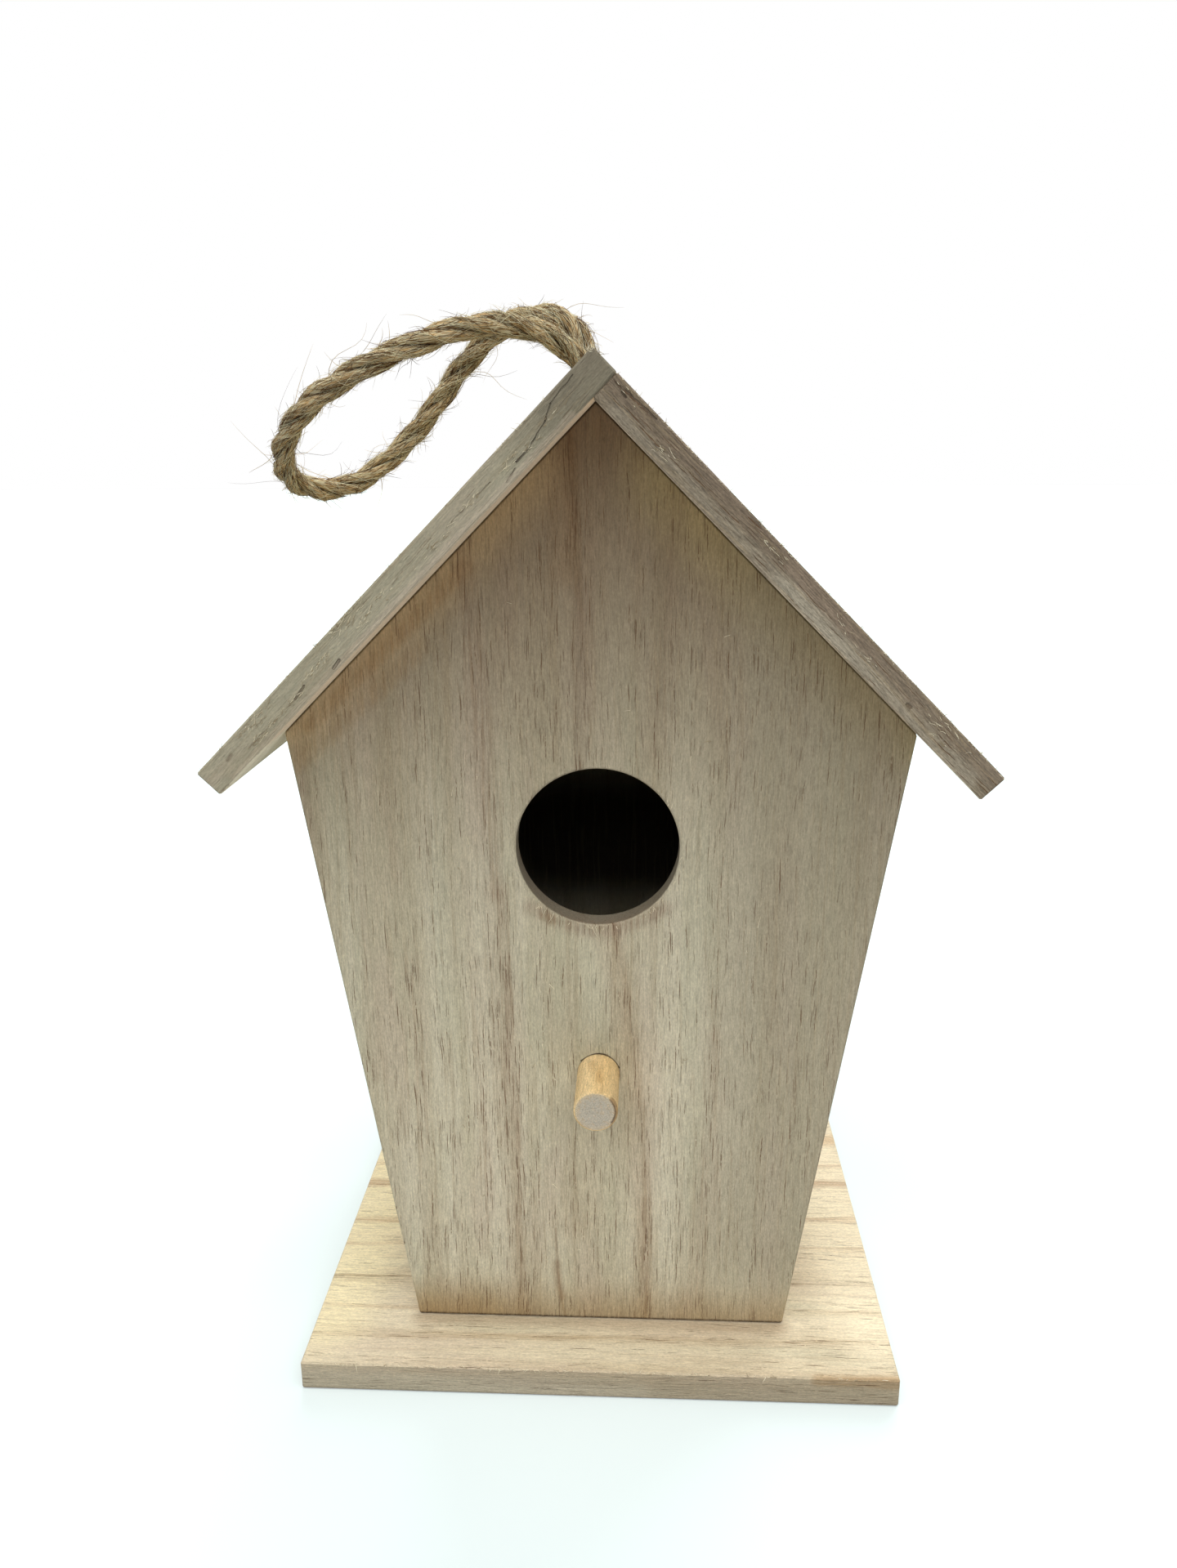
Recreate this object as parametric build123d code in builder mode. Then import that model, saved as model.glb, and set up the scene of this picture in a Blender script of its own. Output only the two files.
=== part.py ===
"""A small gabled birdhouse of thin wooden boards, with a dowel perch and a jute rope loop.

Units are millimetres. X runs across the front, Y runs from the front to the back and
Z points up. The origin is the centre of the base board's underside.
"""

import os
from math import atan2, cos, degrees, hypot, pi, radians, sin, tan

from build123d import *

os.makedirs("parts", exist_ok=True)

# ---------------------------------------------------------------- driving dimensions

# Base board
base_width = 115.0
base_depth = 108.0
base_thickness = 6.0

# Body: two five-sided panels with two leaning walls held between them
body_depth = 79.2  # over the outer faces of the panels
floor_width = 73.6  # of a panel where it stands on the base
eave_width = 111.0  # of a panel where it meets the roof
eave_rise = 122.0  # from the base board up to that width
panel_thickness = 5.0
wall_thickness = 5.0

# Roof
roof_pitch = 45.0
roof_thickness = 5.3
gable_overhang = 11.2  # past the panels, front and back
eave_overhang = 12.0  # past the panels' corners, down the slope

# Entrance and perch, both on the front panel's centre line
entrance_diameter = 29.6
entrance_rise = 100.8  # from the base board up to its centre
perch_diameter = 8.0
perch_rise = 55.6
perch_reach = 13.8  # out in front of the panel
perch_tail = 1.2  # inside the house
perch_clearance = 0.05
perch_chamfer = 0.4

# Hanging rope
rope_diameter = 4.6
strand_gap = 0.4  # between the two strands in their hole
strand_lean = 1.5  # of both strands, towards the left side of the hole
strand_clearance = 1.0  # between the strands and their hole
knot_clearance = 0.3  # between the knot and the roof
knot_radius = 9.2  # of the drawn-up knot, at its middle
knot_waist = 7.2  # height of that middle, between the knot's two shoulders
knot_height = 15.6
tail_length = 10.0  # of the rope's cut ends, below the knot
tail_spacing = 7.0
knot_neck = 0.6  # of each strand, between the knot and the loop

# Headless panel pins
pin_diameter = 1.2
pin_length = 14.0
pin_set = 0.3  # how far a pin's end is set below the surface
pin_clearance = 0.05
base_pin_spacing = 44.0  # in a panel's foot
wall_pin_spacing = 40.0  # in a wall's foot
roof_pin_first = 22.0  # from the ridge down the slope
roof_pin_pitch = 42.0  # to the next pin
ridge_pin_spacing = 64.0

# Light sanding of every board's edges
edge_ease = 0.3

# ------------------------------------------------------------------- derived places

pitch = radians(roof_pitch)
body_half = body_depth / 2
panel_plane = body_half - panel_thickness  # inner face of a panel
panel_middle = body_half - panel_thickness / 2
floor_half = floor_width / 2
eave_half = eave_width / 2
eave_z = base_thickness + eave_rise
gable_z = eave_z + eave_half * tan(pitch)  # where the undersides of the roof meet
ridge_z = gable_z + roof_thickness / cos(pitch)
entrance_z = base_thickness + entrance_rise
perch_z = base_thickness + perch_rise
wall_lean = atan2(eave_half - floor_half, eave_rise)
wall_span = wall_thickness / cos(wall_lean)  # of a wall, measured level
roof_depth = body_depth + 2 * gable_overhang

rope_radius = rope_diameter / 2
strand_y = (rope_diameter + strand_gap) / 2
rope_hole_radius = hypot(strand_lean, strand_y) + rope_radius + strand_clearance

# The knot is drawn up under the ridge, with its shoulders lying along both boards.
knot_half_height = knot_height / 2
knot_half_waist = knot_waist / 2
knot_end_radius = knot_radius - (knot_half_height - knot_half_waist) / tan(pitch)
knot_reach = knot_radius * sin(pitch) + knot_half_waist * cos(pitch) + knot_clearance
knot_z = gable_z - knot_reach / cos(pitch)
mouth_z = knot_z + knot_half_height + knot_neck
tail_z = knot_z - knot_half_height - tail_length

pin_radius = pin_diameter / 2
pin_hole_radius = pin_radius + pin_clearance
pin_depth = pin_length + pin_set


def roof_profile(side):
    """Corners of one roof board's end, on the side -1 (left) or +1 (right).

    The right board ends against the underside of the left one, which laps over it.
    """
    slope_length = eave_half / cos(pitch) + eave_overhang
    lap = roof_thickness / sin(2 * pitch)
    eave_low = Vector(side * slope_length * cos(pitch), gable_z - slope_length * sin(pitch))
    eave_high = eave_low + Vector(side * roof_thickness * sin(pitch), roof_thickness * cos(pitch))
    lap_end = Vector(lap * cos(pitch), gable_z + lap * sin(pitch))
    if side < 0:
        return [eave_low, eave_high, Vector(0, ridge_z), lap_end]
    return [Vector(0, gable_z), lap_end, eave_high, eave_low]


def slope_plane(side):
    """Plane on a roof board's top: origin on the ridge, X down the slope, Z outwards."""
    return Plane(
        origin=(0, 0, ridge_z),
        x_dir=(side * cos(pitch), 0, -sin(pitch)),
        z_dir=(side * sin(pitch), 0, cos(pitch)),
    )


left_slope = slope_plane(-1)
right_slope = slope_plane(1)
underside = Plane(origin=(0, 0, 0), x_dir=(1, 0, 0), z_dir=(0, 0, -1))

panel_pin_places = [
    (roof_pin_first + step * roof_pin_pitch, side * panel_middle)
    for step in range(2)
    for side in (-1, 1)
]
lap_pin_places = [(roof_thickness / 2, side * ridge_pin_spacing / 2) for side in (-1, 1)]
panel_foot_places = [
    (x * base_pin_spacing / 2, y * panel_middle) for x in (-1, 1) for y in (-1, 1)
]
wall_foot_places = [
    (x * (floor_half - wall_span / 2), y * wall_pin_spacing / 2)
    for x in (-1, 1)
    for y in (-1, 1)
]

# ------------------------------------------------------------------------ base board

with BuildPart(underside) as base_board:
    with BuildSketch(underside):
        Rectangle(base_width, base_depth)
    extrude(amount=-base_thickness)
    chamfer(base_board.edges(), edge_ease)
    with Locations(*panel_foot_places, *wall_foot_places):
        Hole(pin_hole_radius, pin_depth)
base_board.part.label = "base_board"

# ---------------------------------------------------------------------------- panels

panel_outline = [
    (-floor_half, base_thickness),
    (floor_half, base_thickness),
    (eave_half, eave_z),
    (0, gable_z),
    (-eave_half, eave_z),
]

with BuildPart() as front_panel:
    with BuildSketch(Plane.XZ.offset(panel_plane)):
        with BuildLine():
            Polyline(*panel_outline, close=True)
        make_face()
        with Locations((0, entrance_z)):
            Circle(entrance_diameter / 2, mode=Mode.SUBTRACT)
        with Locations((0, perch_z)):
            Circle(perch_diameter / 2 + perch_clearance, mode=Mode.SUBTRACT)
    extrude(amount=panel_thickness)
    chamfer(front_panel.edges().filter_by(GeomType.CIRCLE).group_by(SortBy.RADIUS)[-1], edge_ease)
    chamfer(front_panel.edges().filter_by(GeomType.LINE), edge_ease)
    for slope in (left_slope, right_slope):
        with Locations(slope):
            with Locations(*panel_pin_places):
                Hole(pin_hole_radius, pin_depth)
    with Locations(underside):
        with Locations(*panel_foot_places):
            Hole(pin_hole_radius, pin_depth)
front_panel.part.label = "front_panel"

with BuildPart() as back_panel:
    with BuildSketch(Plane.XZ.offset(-body_half)):
        with BuildLine():
            Polyline(*panel_outline, close=True)
        make_face()
    extrude(amount=panel_thickness)
    chamfer(back_panel.edges(), edge_ease)
    for slope in (left_slope, right_slope):
        with Locations(slope):
            with Locations(*panel_pin_places):
                Hole(pin_hole_radius, pin_depth)
    with Locations(underside):
        with Locations(*panel_foot_places):
            Hole(pin_hole_radius, pin_depth)
back_panel.part.label = "back_panel"

# ----------------------------------------------------------------------------- walls

# The wall's inner face meets the roof's underside where the two lines cross.
inner_foot = floor_half - wall_span
inner_top = (inner_foot + (gable_z - base_thickness) * tan(wall_lean)) / (
    1 + tan(pitch) * tan(wall_lean)
)

with BuildPart() as right_wall:
    with BuildSketch(Plane.XZ):
        with BuildLine():
            Polyline(
                (floor_half, base_thickness),
                (eave_half, eave_z),
                (inner_top, gable_z - inner_top * tan(pitch)),
                (inner_foot, base_thickness),
                close=True,
            )
        make_face()
    extrude(amount=panel_plane, both=True)
    chamfer(right_wall.edges(), edge_ease)
    with Locations(underside):
        with Locations(*wall_foot_places):
            Hole(pin_hole_radius, pin_depth)
right_wall.part.label = "right_wall"

with BuildPart() as left_wall:
    mirror(right_wall.part, about=Plane.YZ)
left_wall.part.label = "left_wall"

# ------------------------------------------------------------------------------ roof

with BuildPart() as left_roof_board:
    with BuildSketch(Plane.XZ):
        with BuildLine():
            Polyline(*roof_profile(-1), close=True)
        make_face()
    extrude(amount=roof_depth / 2, both=True)
    chamfer(left_roof_board.edges(), edge_ease)
    with Locations((0, 0, ridge_z)):
        Hole(rope_hole_radius)
    with Locations(left_slope):
        with Locations(*panel_pin_places, *lap_pin_places):
            Hole(pin_hole_radius, pin_depth)
left_roof_board.part.label = "left_roof_board"

with BuildPart() as right_roof_board:
    with BuildSketch(Plane.XZ):
        with BuildLine():
            Polyline(*roof_profile(1), close=True)
        make_face()
    extrude(amount=roof_depth / 2, both=True)
    chamfer(right_roof_board.edges(), edge_ease)
    with Locations((0, 0, ridge_z)):
        Hole(rope_hole_radius)
    with Locations(right_slope):
        with Locations(*panel_pin_places):
            Hole(pin_hole_radius, pin_depth)
    with Locations(left_slope):
        with Locations(*lap_pin_places):
            Hole(pin_hole_radius, pin_depth)
right_roof_board.part.label = "right_roof_board"

# ----------------------------------------------------------------------------- perch

perch_length = perch_reach + panel_thickness + perch_tail

with BuildPart() as perch_dowel:
    with BuildSketch(Plane.XZ.offset(body_half + perch_reach)):
        with Locations((0, perch_z)):
            Circle(perch_diameter / 2)
    extrude(amount=-perch_length)
    chamfer(perch_dowel.edges().filter_by(GeomType.CIRCLE), perch_chamfer)
perch_dowel.part.label = "perch_dowel"

# ------------------------------------------------------------------------------ pins

# One pin, driven downwards from the origin
with BuildPart() as panel_pin:
    with BuildSketch():
        Circle(pin_radius)
    extrude(amount=-pin_length)


def set_below(places):
    """The same places, with the pins' ends set below the surface."""
    return [(x, y, -pin_set) for x, y in places]


with BuildPart() as base_pins:
    with Locations(underside):
        with Locations(*set_below(panel_foot_places + wall_foot_places)):
            add(panel_pin.part)
base_pins.part.label = "base_pins"

with BuildPart() as left_roof_pins:
    with Locations(left_slope):
        with Locations(*set_below(panel_pin_places)):
            add(panel_pin.part)
left_roof_pins.part.label = "left_roof_pins"

with BuildPart() as right_roof_pins:
    with Locations(right_slope):
        with Locations(*set_below(panel_pin_places)):
            add(panel_pin.part)
right_roof_pins.part.label = "right_roof_pins"

with BuildPart() as ridge_pins:
    with Locations(left_slope):
        with Locations(*set_below(lap_pin_places)):
            add(panel_pin.part)
ridge_pins.part.label = "ridge_pins"

# ------------------------------------------------------------------------------ rope

# The route of the loop, measured from the ridge: out of the hole, over to the left,
# round a flopped loop that crosses behind its own first stretch, and back down.
loop_offsets = [
    (-9.0, -6.0, 6.0),
    (-20.5, -13.5, 7.5),
    (-32.0, -18.0, 4.0),
    (-44.0, -19.0, -1.0),
    (-55.0, -15.5, -7.0),
    (-62.5, -8.0, -15.0),
    (-63.5, 3.5, -22.0),
    (-54.5, 13.5, -23.0),
    (-44.5, 18.5, -15.5),
    (-36.0, 17.5, -6.0),
    (-28.0, 13.5, 3.5),
    (-18.5, 9.0, 10.5),
    (-6.5, 4.5, 10.5),
]
rope_route = [
    Vector(-strand_lean, -strand_y, mouth_z),
    Vector(-strand_lean, -strand_y, ridge_z - 2.0),
    *(Vector(x, y, ridge_z + z) for x, y, z in loop_offsets),
    Vector(-strand_lean, strand_y, ridge_z - 1.0),
    Vector(-strand_lean, strand_y, mouth_z),
]

arc_share = 0.45  # of the shorter run, taken by each arc's tangent
runs = [end - start for start, end in zip(rope_route, rope_route[1:])]
turns = [before.get_angle(after) for before, after in zip(runs, runs[1:])]
rope_radii = [
    arc_share * min(before.length, after.length) / tan(radians(turn) / 2)
    for before, after, turn in zip(runs, runs[1:], turns)
]

with BuildPart() as hanging_rope:
    with BuildLine() as rope_line:
        FilletPolyline(*rope_route, radius=rope_radii)
    with BuildSketch(Plane(origin=rope_route[0], z_dir=(0, 0, 1))):
        Circle(rope_radius)
    sweep()
hanging_rope.part.label = "hanging_rope"

with BuildPart() as rope_knot:
    with BuildSketch(Plane.XZ):
        with BuildLine():
            Polyline(
                (0, knot_z + knot_half_height),
                (knot_end_radius, knot_z + knot_half_height),
                (knot_radius, knot_z + knot_half_waist),
                (knot_radius, knot_z - knot_half_waist),
                (knot_end_radius, knot_z - knot_half_height),
                (0, knot_z - knot_half_height),
                close=True,
            )
        make_face()
    revolve(axis=Axis.Z)
    with BuildSketch(Plane.XY.offset(knot_z)):
        with Locations((-strand_lean, -strand_y), (-strand_lean, strand_y)):
            Circle(rope_radius)
    extrude(amount=mouth_z - knot_z)
    with BuildSketch(Plane.XY.offset(tail_z)):
        with Locations((-tail_spacing / 2, 0), (tail_spacing / 2, 0)):
            Circle(rope_radius)
    extrude(amount=knot_z - tail_z)
rope_knot.part.label = "rope_knot"

# ---------------------------------------------------------------------------- output

for piece in (
    base_board,
    front_panel,
    back_panel,
    left_wall,
    right_wall,
    left_roof_board,
    right_roof_board,
    perch_dowel,
    base_pins,
    left_roof_pins,
    right_roof_pins,
    ridge_pins,
    hanging_rope,
    rope_knot,
):
    export_step(piece.part, f"parts/{piece.part.label}.step")

rope_length = sum(edge.length for edge in rope_line.edges())
rope_volume = pi * rope_radius**2 * rope_length
print("rope turns in degrees:", [round(turn) for turn in turns])
print("rope radii in mm:", [round(radius, 1) for radius in rope_radii])
print(f"rope length {rope_length:.1f} mm, section x length {rope_volume:.0f} mm3, ", end="")
print(f"tube {hanging_rope.part.volume:.0f} mm3")
print(f"walls lean {degrees(wall_lean):.1f} degrees, ridge at {ridge_z:.1f} mm")
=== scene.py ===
"""Looks of the gabled birdhouse: its boards' wood, dowel perch, pins and jute rope loop.

Lengths are metres in the CAD's own frame, and a wood finish works in millimetres along
its board's grain. The front faces -Y and the ridge runs along Y.
"""

import logging
from dataclasses import dataclass
from enum import Enum
from typing import Sequence, Union

import bpy
import numpy as np
from mathutils import Matrix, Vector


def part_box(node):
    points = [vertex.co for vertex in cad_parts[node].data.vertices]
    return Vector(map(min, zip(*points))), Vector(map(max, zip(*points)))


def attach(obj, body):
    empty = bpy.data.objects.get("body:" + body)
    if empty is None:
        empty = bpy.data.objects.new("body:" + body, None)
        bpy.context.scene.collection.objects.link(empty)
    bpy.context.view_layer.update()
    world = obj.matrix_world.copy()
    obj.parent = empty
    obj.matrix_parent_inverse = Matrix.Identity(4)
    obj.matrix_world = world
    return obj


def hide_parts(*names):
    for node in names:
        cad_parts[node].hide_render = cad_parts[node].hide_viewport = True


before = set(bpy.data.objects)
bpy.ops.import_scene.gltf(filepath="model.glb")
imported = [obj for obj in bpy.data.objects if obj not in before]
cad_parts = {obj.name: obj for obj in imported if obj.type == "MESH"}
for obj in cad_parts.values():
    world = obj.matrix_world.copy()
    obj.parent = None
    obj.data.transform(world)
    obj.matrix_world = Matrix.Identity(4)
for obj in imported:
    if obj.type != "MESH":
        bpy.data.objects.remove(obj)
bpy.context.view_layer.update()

log = logging.getLogger("birdhouse")

Array = np.ndarray
Piece = bpy.types.Object
Material = bpy.types.Material
Triple = tuple[float, float, float]
Socket = bpy.types.NodeSocket
Value = Union[float, Triple, Socket]

ROOT = "root"
ROPE_SLOT = "jute"
MM = 0.001
TURN = 2 * np.pi
MIX_FIRST, MIX_SECOND, MIX_RESULT = 6, 7, 2  # a Mix node's sockets for colours
CHART, SHADE = "lay", "shade"  # a strand's UV map, and a fibre's attribute
NOISE_MIDDLE = (0.5, 0.5, 0.5)
SHIFT_SHARES = (1.0, 1.7, 0.6)  # of a pattern's shift, unlike on each axis
SHEEN = 0.25  # how strongly every finish reflects
TORN = (0.57, 0.43)  # thread noise over which a patchy mark breaks up
FIXED_WAY = np.array([0.30, 0.62, 0.72])  # which the rope nowhere runs along
X_AXIS, Y_AXIS, Z_AXIS = (1.0, 0.0, 0.0), (0.0, 1.0, 0.0), (0.0, 0.0, 1.0)


# ---- small helpers


def unit(vectors: Array) -> Array:
    """Each vector, along the last axis, divided by its own length."""
    return vectors / np.linalg.norm(vectors, axis=-1, keepdims=True)


def square_to(vectors: Array, axis: Array) -> Array:
    """Vectors less the part of them that runs along a unit axis."""
    return vectors - axis * np.sum(vectors * axis, -1, keepdims=True)


def circled(middle: Array, first: Array, other: Array, angle: Array, radius: Array) -> Array:
    """Points about a middle: it plus the radius times (first cos angle + other sin angle)."""
    cos, sin = np.cos(angle)[..., None], np.sin(angle)[..., None]
    return middle + radius[..., None] * (first * cos + other * sin)


def bent(root: Array, ahead: Array, bend: Array, count: int) -> Array:
    """Each fibre's points: its root, plus ahead times t, plus bend times t squared."""
    t = np.linspace(0.0, 1.0, count)[None, :, None]
    return root[:, None] + ahead[:, None] * t + bend[:, None] * t**2


def linear(shade: Triple) -> tuple[float, float, float, float]:
    """A display colour as the linear colour that shaders take.

    A channel c above 0.04045 becomes ((c + 0.055) / 1.055) to the power 2.4, and a darker
    one c / 12.92.

    Args:
        shade: Red, green and blue from 0 to 255.

    Returns:
        Linear red, green and blue with an alpha of 1.
    """
    c = np.array(shade) / 255
    low, high = c / 12.92, ((c + 0.055) / 1.055) ** 2.4
    return (*np.where(c > 0.04045, high, low).tolist(), 1.0)


def add_mesh(name: str, points: Array, faces: Array) -> Piece:
    """Makes one smooth-shaded mesh object at the origin.

    Args:
        name: The piece's name.
        points: Vertices, one row each.
        faces: Vertex numbers of each quad, one row each.

    Returns:
        The new object, linked to the scene.
    """
    mesh = bpy.data.meshes.new(name)
    mesh.from_pydata(points.reshape(-1, 3).tolist(), [], faces.tolist())
    mesh.polygons.foreach_set("use_smooth", np.ones(len(mesh.polygons), bool))
    mesh.update()
    piece = bpy.data.objects.new(name, mesh)
    bpy.context.scene.collection.objects.link(piece)
    return piece


def tube_faces(count: int, rings: int, sides: int) -> Array:
    """Quads of several closed tubes whose vertices are ordered tube by tube, ring by ring.

    Each end is closed by a ladder of quads, whose step i joins sides i and i + 1 to the two
    that face them across the ring.

    Args:
        count: How many tubes.
        rings: Rings in each tube.
        sides: Vertices in each ring, an even number.

    Returns:
        Vertex numbers of each quad, the walls' first, then the ends'. They point outwards
        for rings turned anticlockwise.
    """
    tube, ring, side = np.meshgrid(
        np.arange(count), np.arange(rings - 1), np.arange(sides), indexing="ij"
    )
    here = (tube * rings + ring) * sides + side
    beside = here - side + (side + 1) % sides
    walls = np.stack([here, beside, beside + sides, here + sides], -1).reshape(-1, 4)
    step = np.arange(sides // 2 - 1)
    ladder = np.stack([step, step + 1, sides - 2 - step, sides - 1 - step], -1)
    start = (np.arange(count) * rings * sides)[:, None, None]
    first = (ladder[:, ::-1] + start).reshape(-1, 4)
    last = (ladder + start + (rings - 1) * sides).reshape(-1, 4)
    return np.concatenate([walls, first, last])


def hand_in(piece: Piece, slot: str, *nodes: str) -> Piece:
    """Lets a new piece ride on the body and hides what it replaces.

    Args:
        piece: The finished piece.
        slot: Not used.
        nodes: CAD nodes that it stands for, if any.

    Returns:
        The piece.
    """
    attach(piece, ROOT)
    if nodes:
        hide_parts(*nodes)
    log.info("%s: %d vertices", piece.name, len(piece.data.vertices))
    return piece


# ---- shader graphs


class Graph:
    """The node tree of a material or of the world, with a method for each kind of step."""

    def __init__(self, owner: Union[Material, bpy.types.World]) -> None:
        """Starts with an empty tree.

        Args:
            owner: What the tree belongs to.
        """
        owner.use_nodes = True
        self.owner, self.tree = owner, owner.node_tree
        self.tree.nodes.clear()

    def add(
        self, kind: str, inputs: dict[Union[str, int], Value], **settings: str
    ) -> bpy.types.Node:
        """Makes one node.

        Args:
            kind: Its type, without the leading ShaderNode.
            inputs: For each input, by name or number, what to link or the plain value.
            settings: Its properties.

        Returns:
            The node.
        """
        node = self.tree.nodes.new("ShaderNode" + kind)
        for name, setting in settings.items():
            setattr(node, name, setting)
        for key, value in inputs.items():
            if isinstance(value, Socket):
                self.tree.links.new(value, node.inputs[key])
            else:
                node.inputs[key].default_value = value
        return node

    def math(self, operation: str, *values: Value) -> Socket:
        """The value of a Math node with these inputs."""
        return self.add("Math", dict(enumerate(values)), operation=operation).outputs[0]

    def ramp(self, value: Value, slope: Value, start: Value) -> Socket:
        """A value times a slope plus a start."""
        return self.math("MULTIPLY_ADD", value, slope, start)

    def times(self, *values: Value) -> Socket:
        """Multiplies several numbers.

        Args:
            values: The numbers.

        Returns:
            Their product.
        """
        product = values[0]
        for value in values[1:]:
            product = self.math("MULTIPLY", product, value)
        return product

    def vector(self, operation: str, *values: Value) -> Socket:
        """The vector of a Vector Math node with these inputs."""
        return self.add("VectorMath", dict(enumerate(values)), operation=operation).outputs[0]

    def number(self, operation: str, *values: Value) -> Socket:
        """The number of a Vector Math node, such as a dot product or a distance."""
        return self.add("VectorMath", dict(enumerate(values)), operation=operation).outputs[1]

    def scale(self, vector: Value, by: Value) -> Socket:
        """A vector times a number."""
        return self.add("VectorMath", {0: vector, "Scale": by}, operation="SCALE").outputs[0]

    def combine(self, x: Value, y: Value, z: Value) -> Socket:
        """A vector from three numbers."""
        return self.add("CombineXYZ", {0: x, 1: y, 2: z}).outputs[0]

    def object_place(self) -> Socket:
        """The place in the object's own coordinates, in metres."""
        return self.add("TexCoord", {}).outputs["Object"]

    def pattern(self, place: Socket, size: Triple, shift: float, **inputs: float) -> bpy.types.Node:
        """A noise texture.

        Args:
            place: The place that it is read at.
            size: Feature size along each axis, in the place's own unit.
            shift: Moves the pattern along all axes, so that boards differ.
            inputs: Its other inputs.

        Returns:
            The node.
        """
        moves = tuple(shift * share for share in SHIFT_SHARES)
        moved = self.vector("ADD", self.vector("DIVIDE", place, size), moves)
        return self.add("TexNoise", {"Vector": moved, "Scale": 1.0, **inputs})

    def noise(
        self, place: Socket, size: Triple, shift: float = 0, detail: float = 2, rough: float = 0.5
    ) -> Socket:
        """Soft noise about 0.5 with finer octaves, of which rough says how strong they are."""
        return self.pattern(place, size, shift, Detail=detail, Roughness=rough).outputs[0]

    def sway(self, place: Socket, size: Triple, shift: float, reach: Triple) -> Socket:
        """A vector of noise that swings by up to half of reach to each side."""
        colour = self.pattern(place, size, shift).outputs["Color"]
        return self.vector("MULTIPLY", self.vector("SUBTRACT", colour, NOISE_MIDDLE), reach)

    def ease(self, value: Value, low: float, high: float) -> Socket:
        """A smooth step, with x squared times (3 - 2 x) of the share x of the way.

        Args:
            value: The number that it reads.
            low: Where it is 0. This may be the higher number.
            high: Where it is 1.

        Returns:
            A number from 0 to 1.
        """
        inputs = {"Value": value, "From Min": min(low, high), "From Max": max(low, high)}
        if low > high:
            inputs.update({"To Min": 1.0, "To Max": 0.0})
        return self.add("MapRange", inputs, interpolation_type="SMOOTHSTEP").outputs[0]

    def mix(self, share: Value, first: Value, second: Value) -> Socket:
        """A colour between two linear ones, the second where share is 1."""
        inputs = {0: share, MIX_FIRST: first, MIX_SECOND: second}
        return self.add("Mix", inputs, data_type="RGBA").outputs[MIX_RESULT]

    def blend(self, share: Value, *colours: Value) -> Socket:
        """A colour between two others, each a socket or a display shade."""
        return self.mix(share, *(c if isinstance(c, Socket) else linear(c) for c in colours))

    def wash(
        self, colour: Socket, shade: Triple, value: Socket, low: float, high: float, strength: float
    ) -> Socket:
        """A colour with a shade laid over it where a value has eased from low to high."""
        return self.blend(self.times(self.ease(value, low, high), strength), colour, shade)

    def seen(self) -> Socket:
        """Tells what the camera sees, straight on or by a shine or through a clear thing.

        Returns:
            1 for such a ray, and 0 for light that only spreads.
        """
        rays = self.add("LightPath", {}).outputs
        shine = self.math("MAXIMUM", rays["Is Camera Ray"], rays["Is Glossy Ray"])
        return self.math("MAXIMUM", shine, rays["Is Transmission Ray"])

    def finish(
        self, colour: Socket, roughness: Value, height: Socket, depth: float, metallic: float = 0.0
    ) -> Material:
        """Joins colour, roughness and relief to a Principled shader.

        Args:
            colour: The base colour.
            roughness: The roughness.
            height: Relief from about 0 to 1.
            depth: What a height of 1 measures, in metres.
            metallic: 1 for metal.

        Returns:
            The finished material.
        """
        bump = self.add("Bump", {"Distance": depth, "Height": height})
        inputs = {
            "Base Color": colour,
            "Roughness": roughness,
            "Metallic": metallic,
            "Specular IOR Level": SHEEN,
            "Normal": bump.outputs[0],
        }
        self.add("OutputMaterial", {0: self.add("BsdfPrincipled", inputs).outputs[0]})
        return self.owner


# ---- wood finish


@dataclass(frozen=True)
class Grain:
    """How a board was cut: an origin, and unit vectors across, through and along its grain."""

    origin: Triple
    across: Triple
    deep: Triple
    along: Triple

    def place(self, graph: Graph) -> Socket:
        """The place in millimetres as (across, deep, along).

        Args:
            graph: The material's graph.

        Returns:
            The vector: each part is the dot product of the way from the origin with an axis.
        """
        away = graph.vector("SUBTRACT", graph.object_place(), self.origin)
        axes = np.array([self.across, self.deep, self.along]) / MM
        return graph.combine(*(graph.number("DOT_PRODUCT", away, axis.tolist()) for axis in axes))


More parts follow.
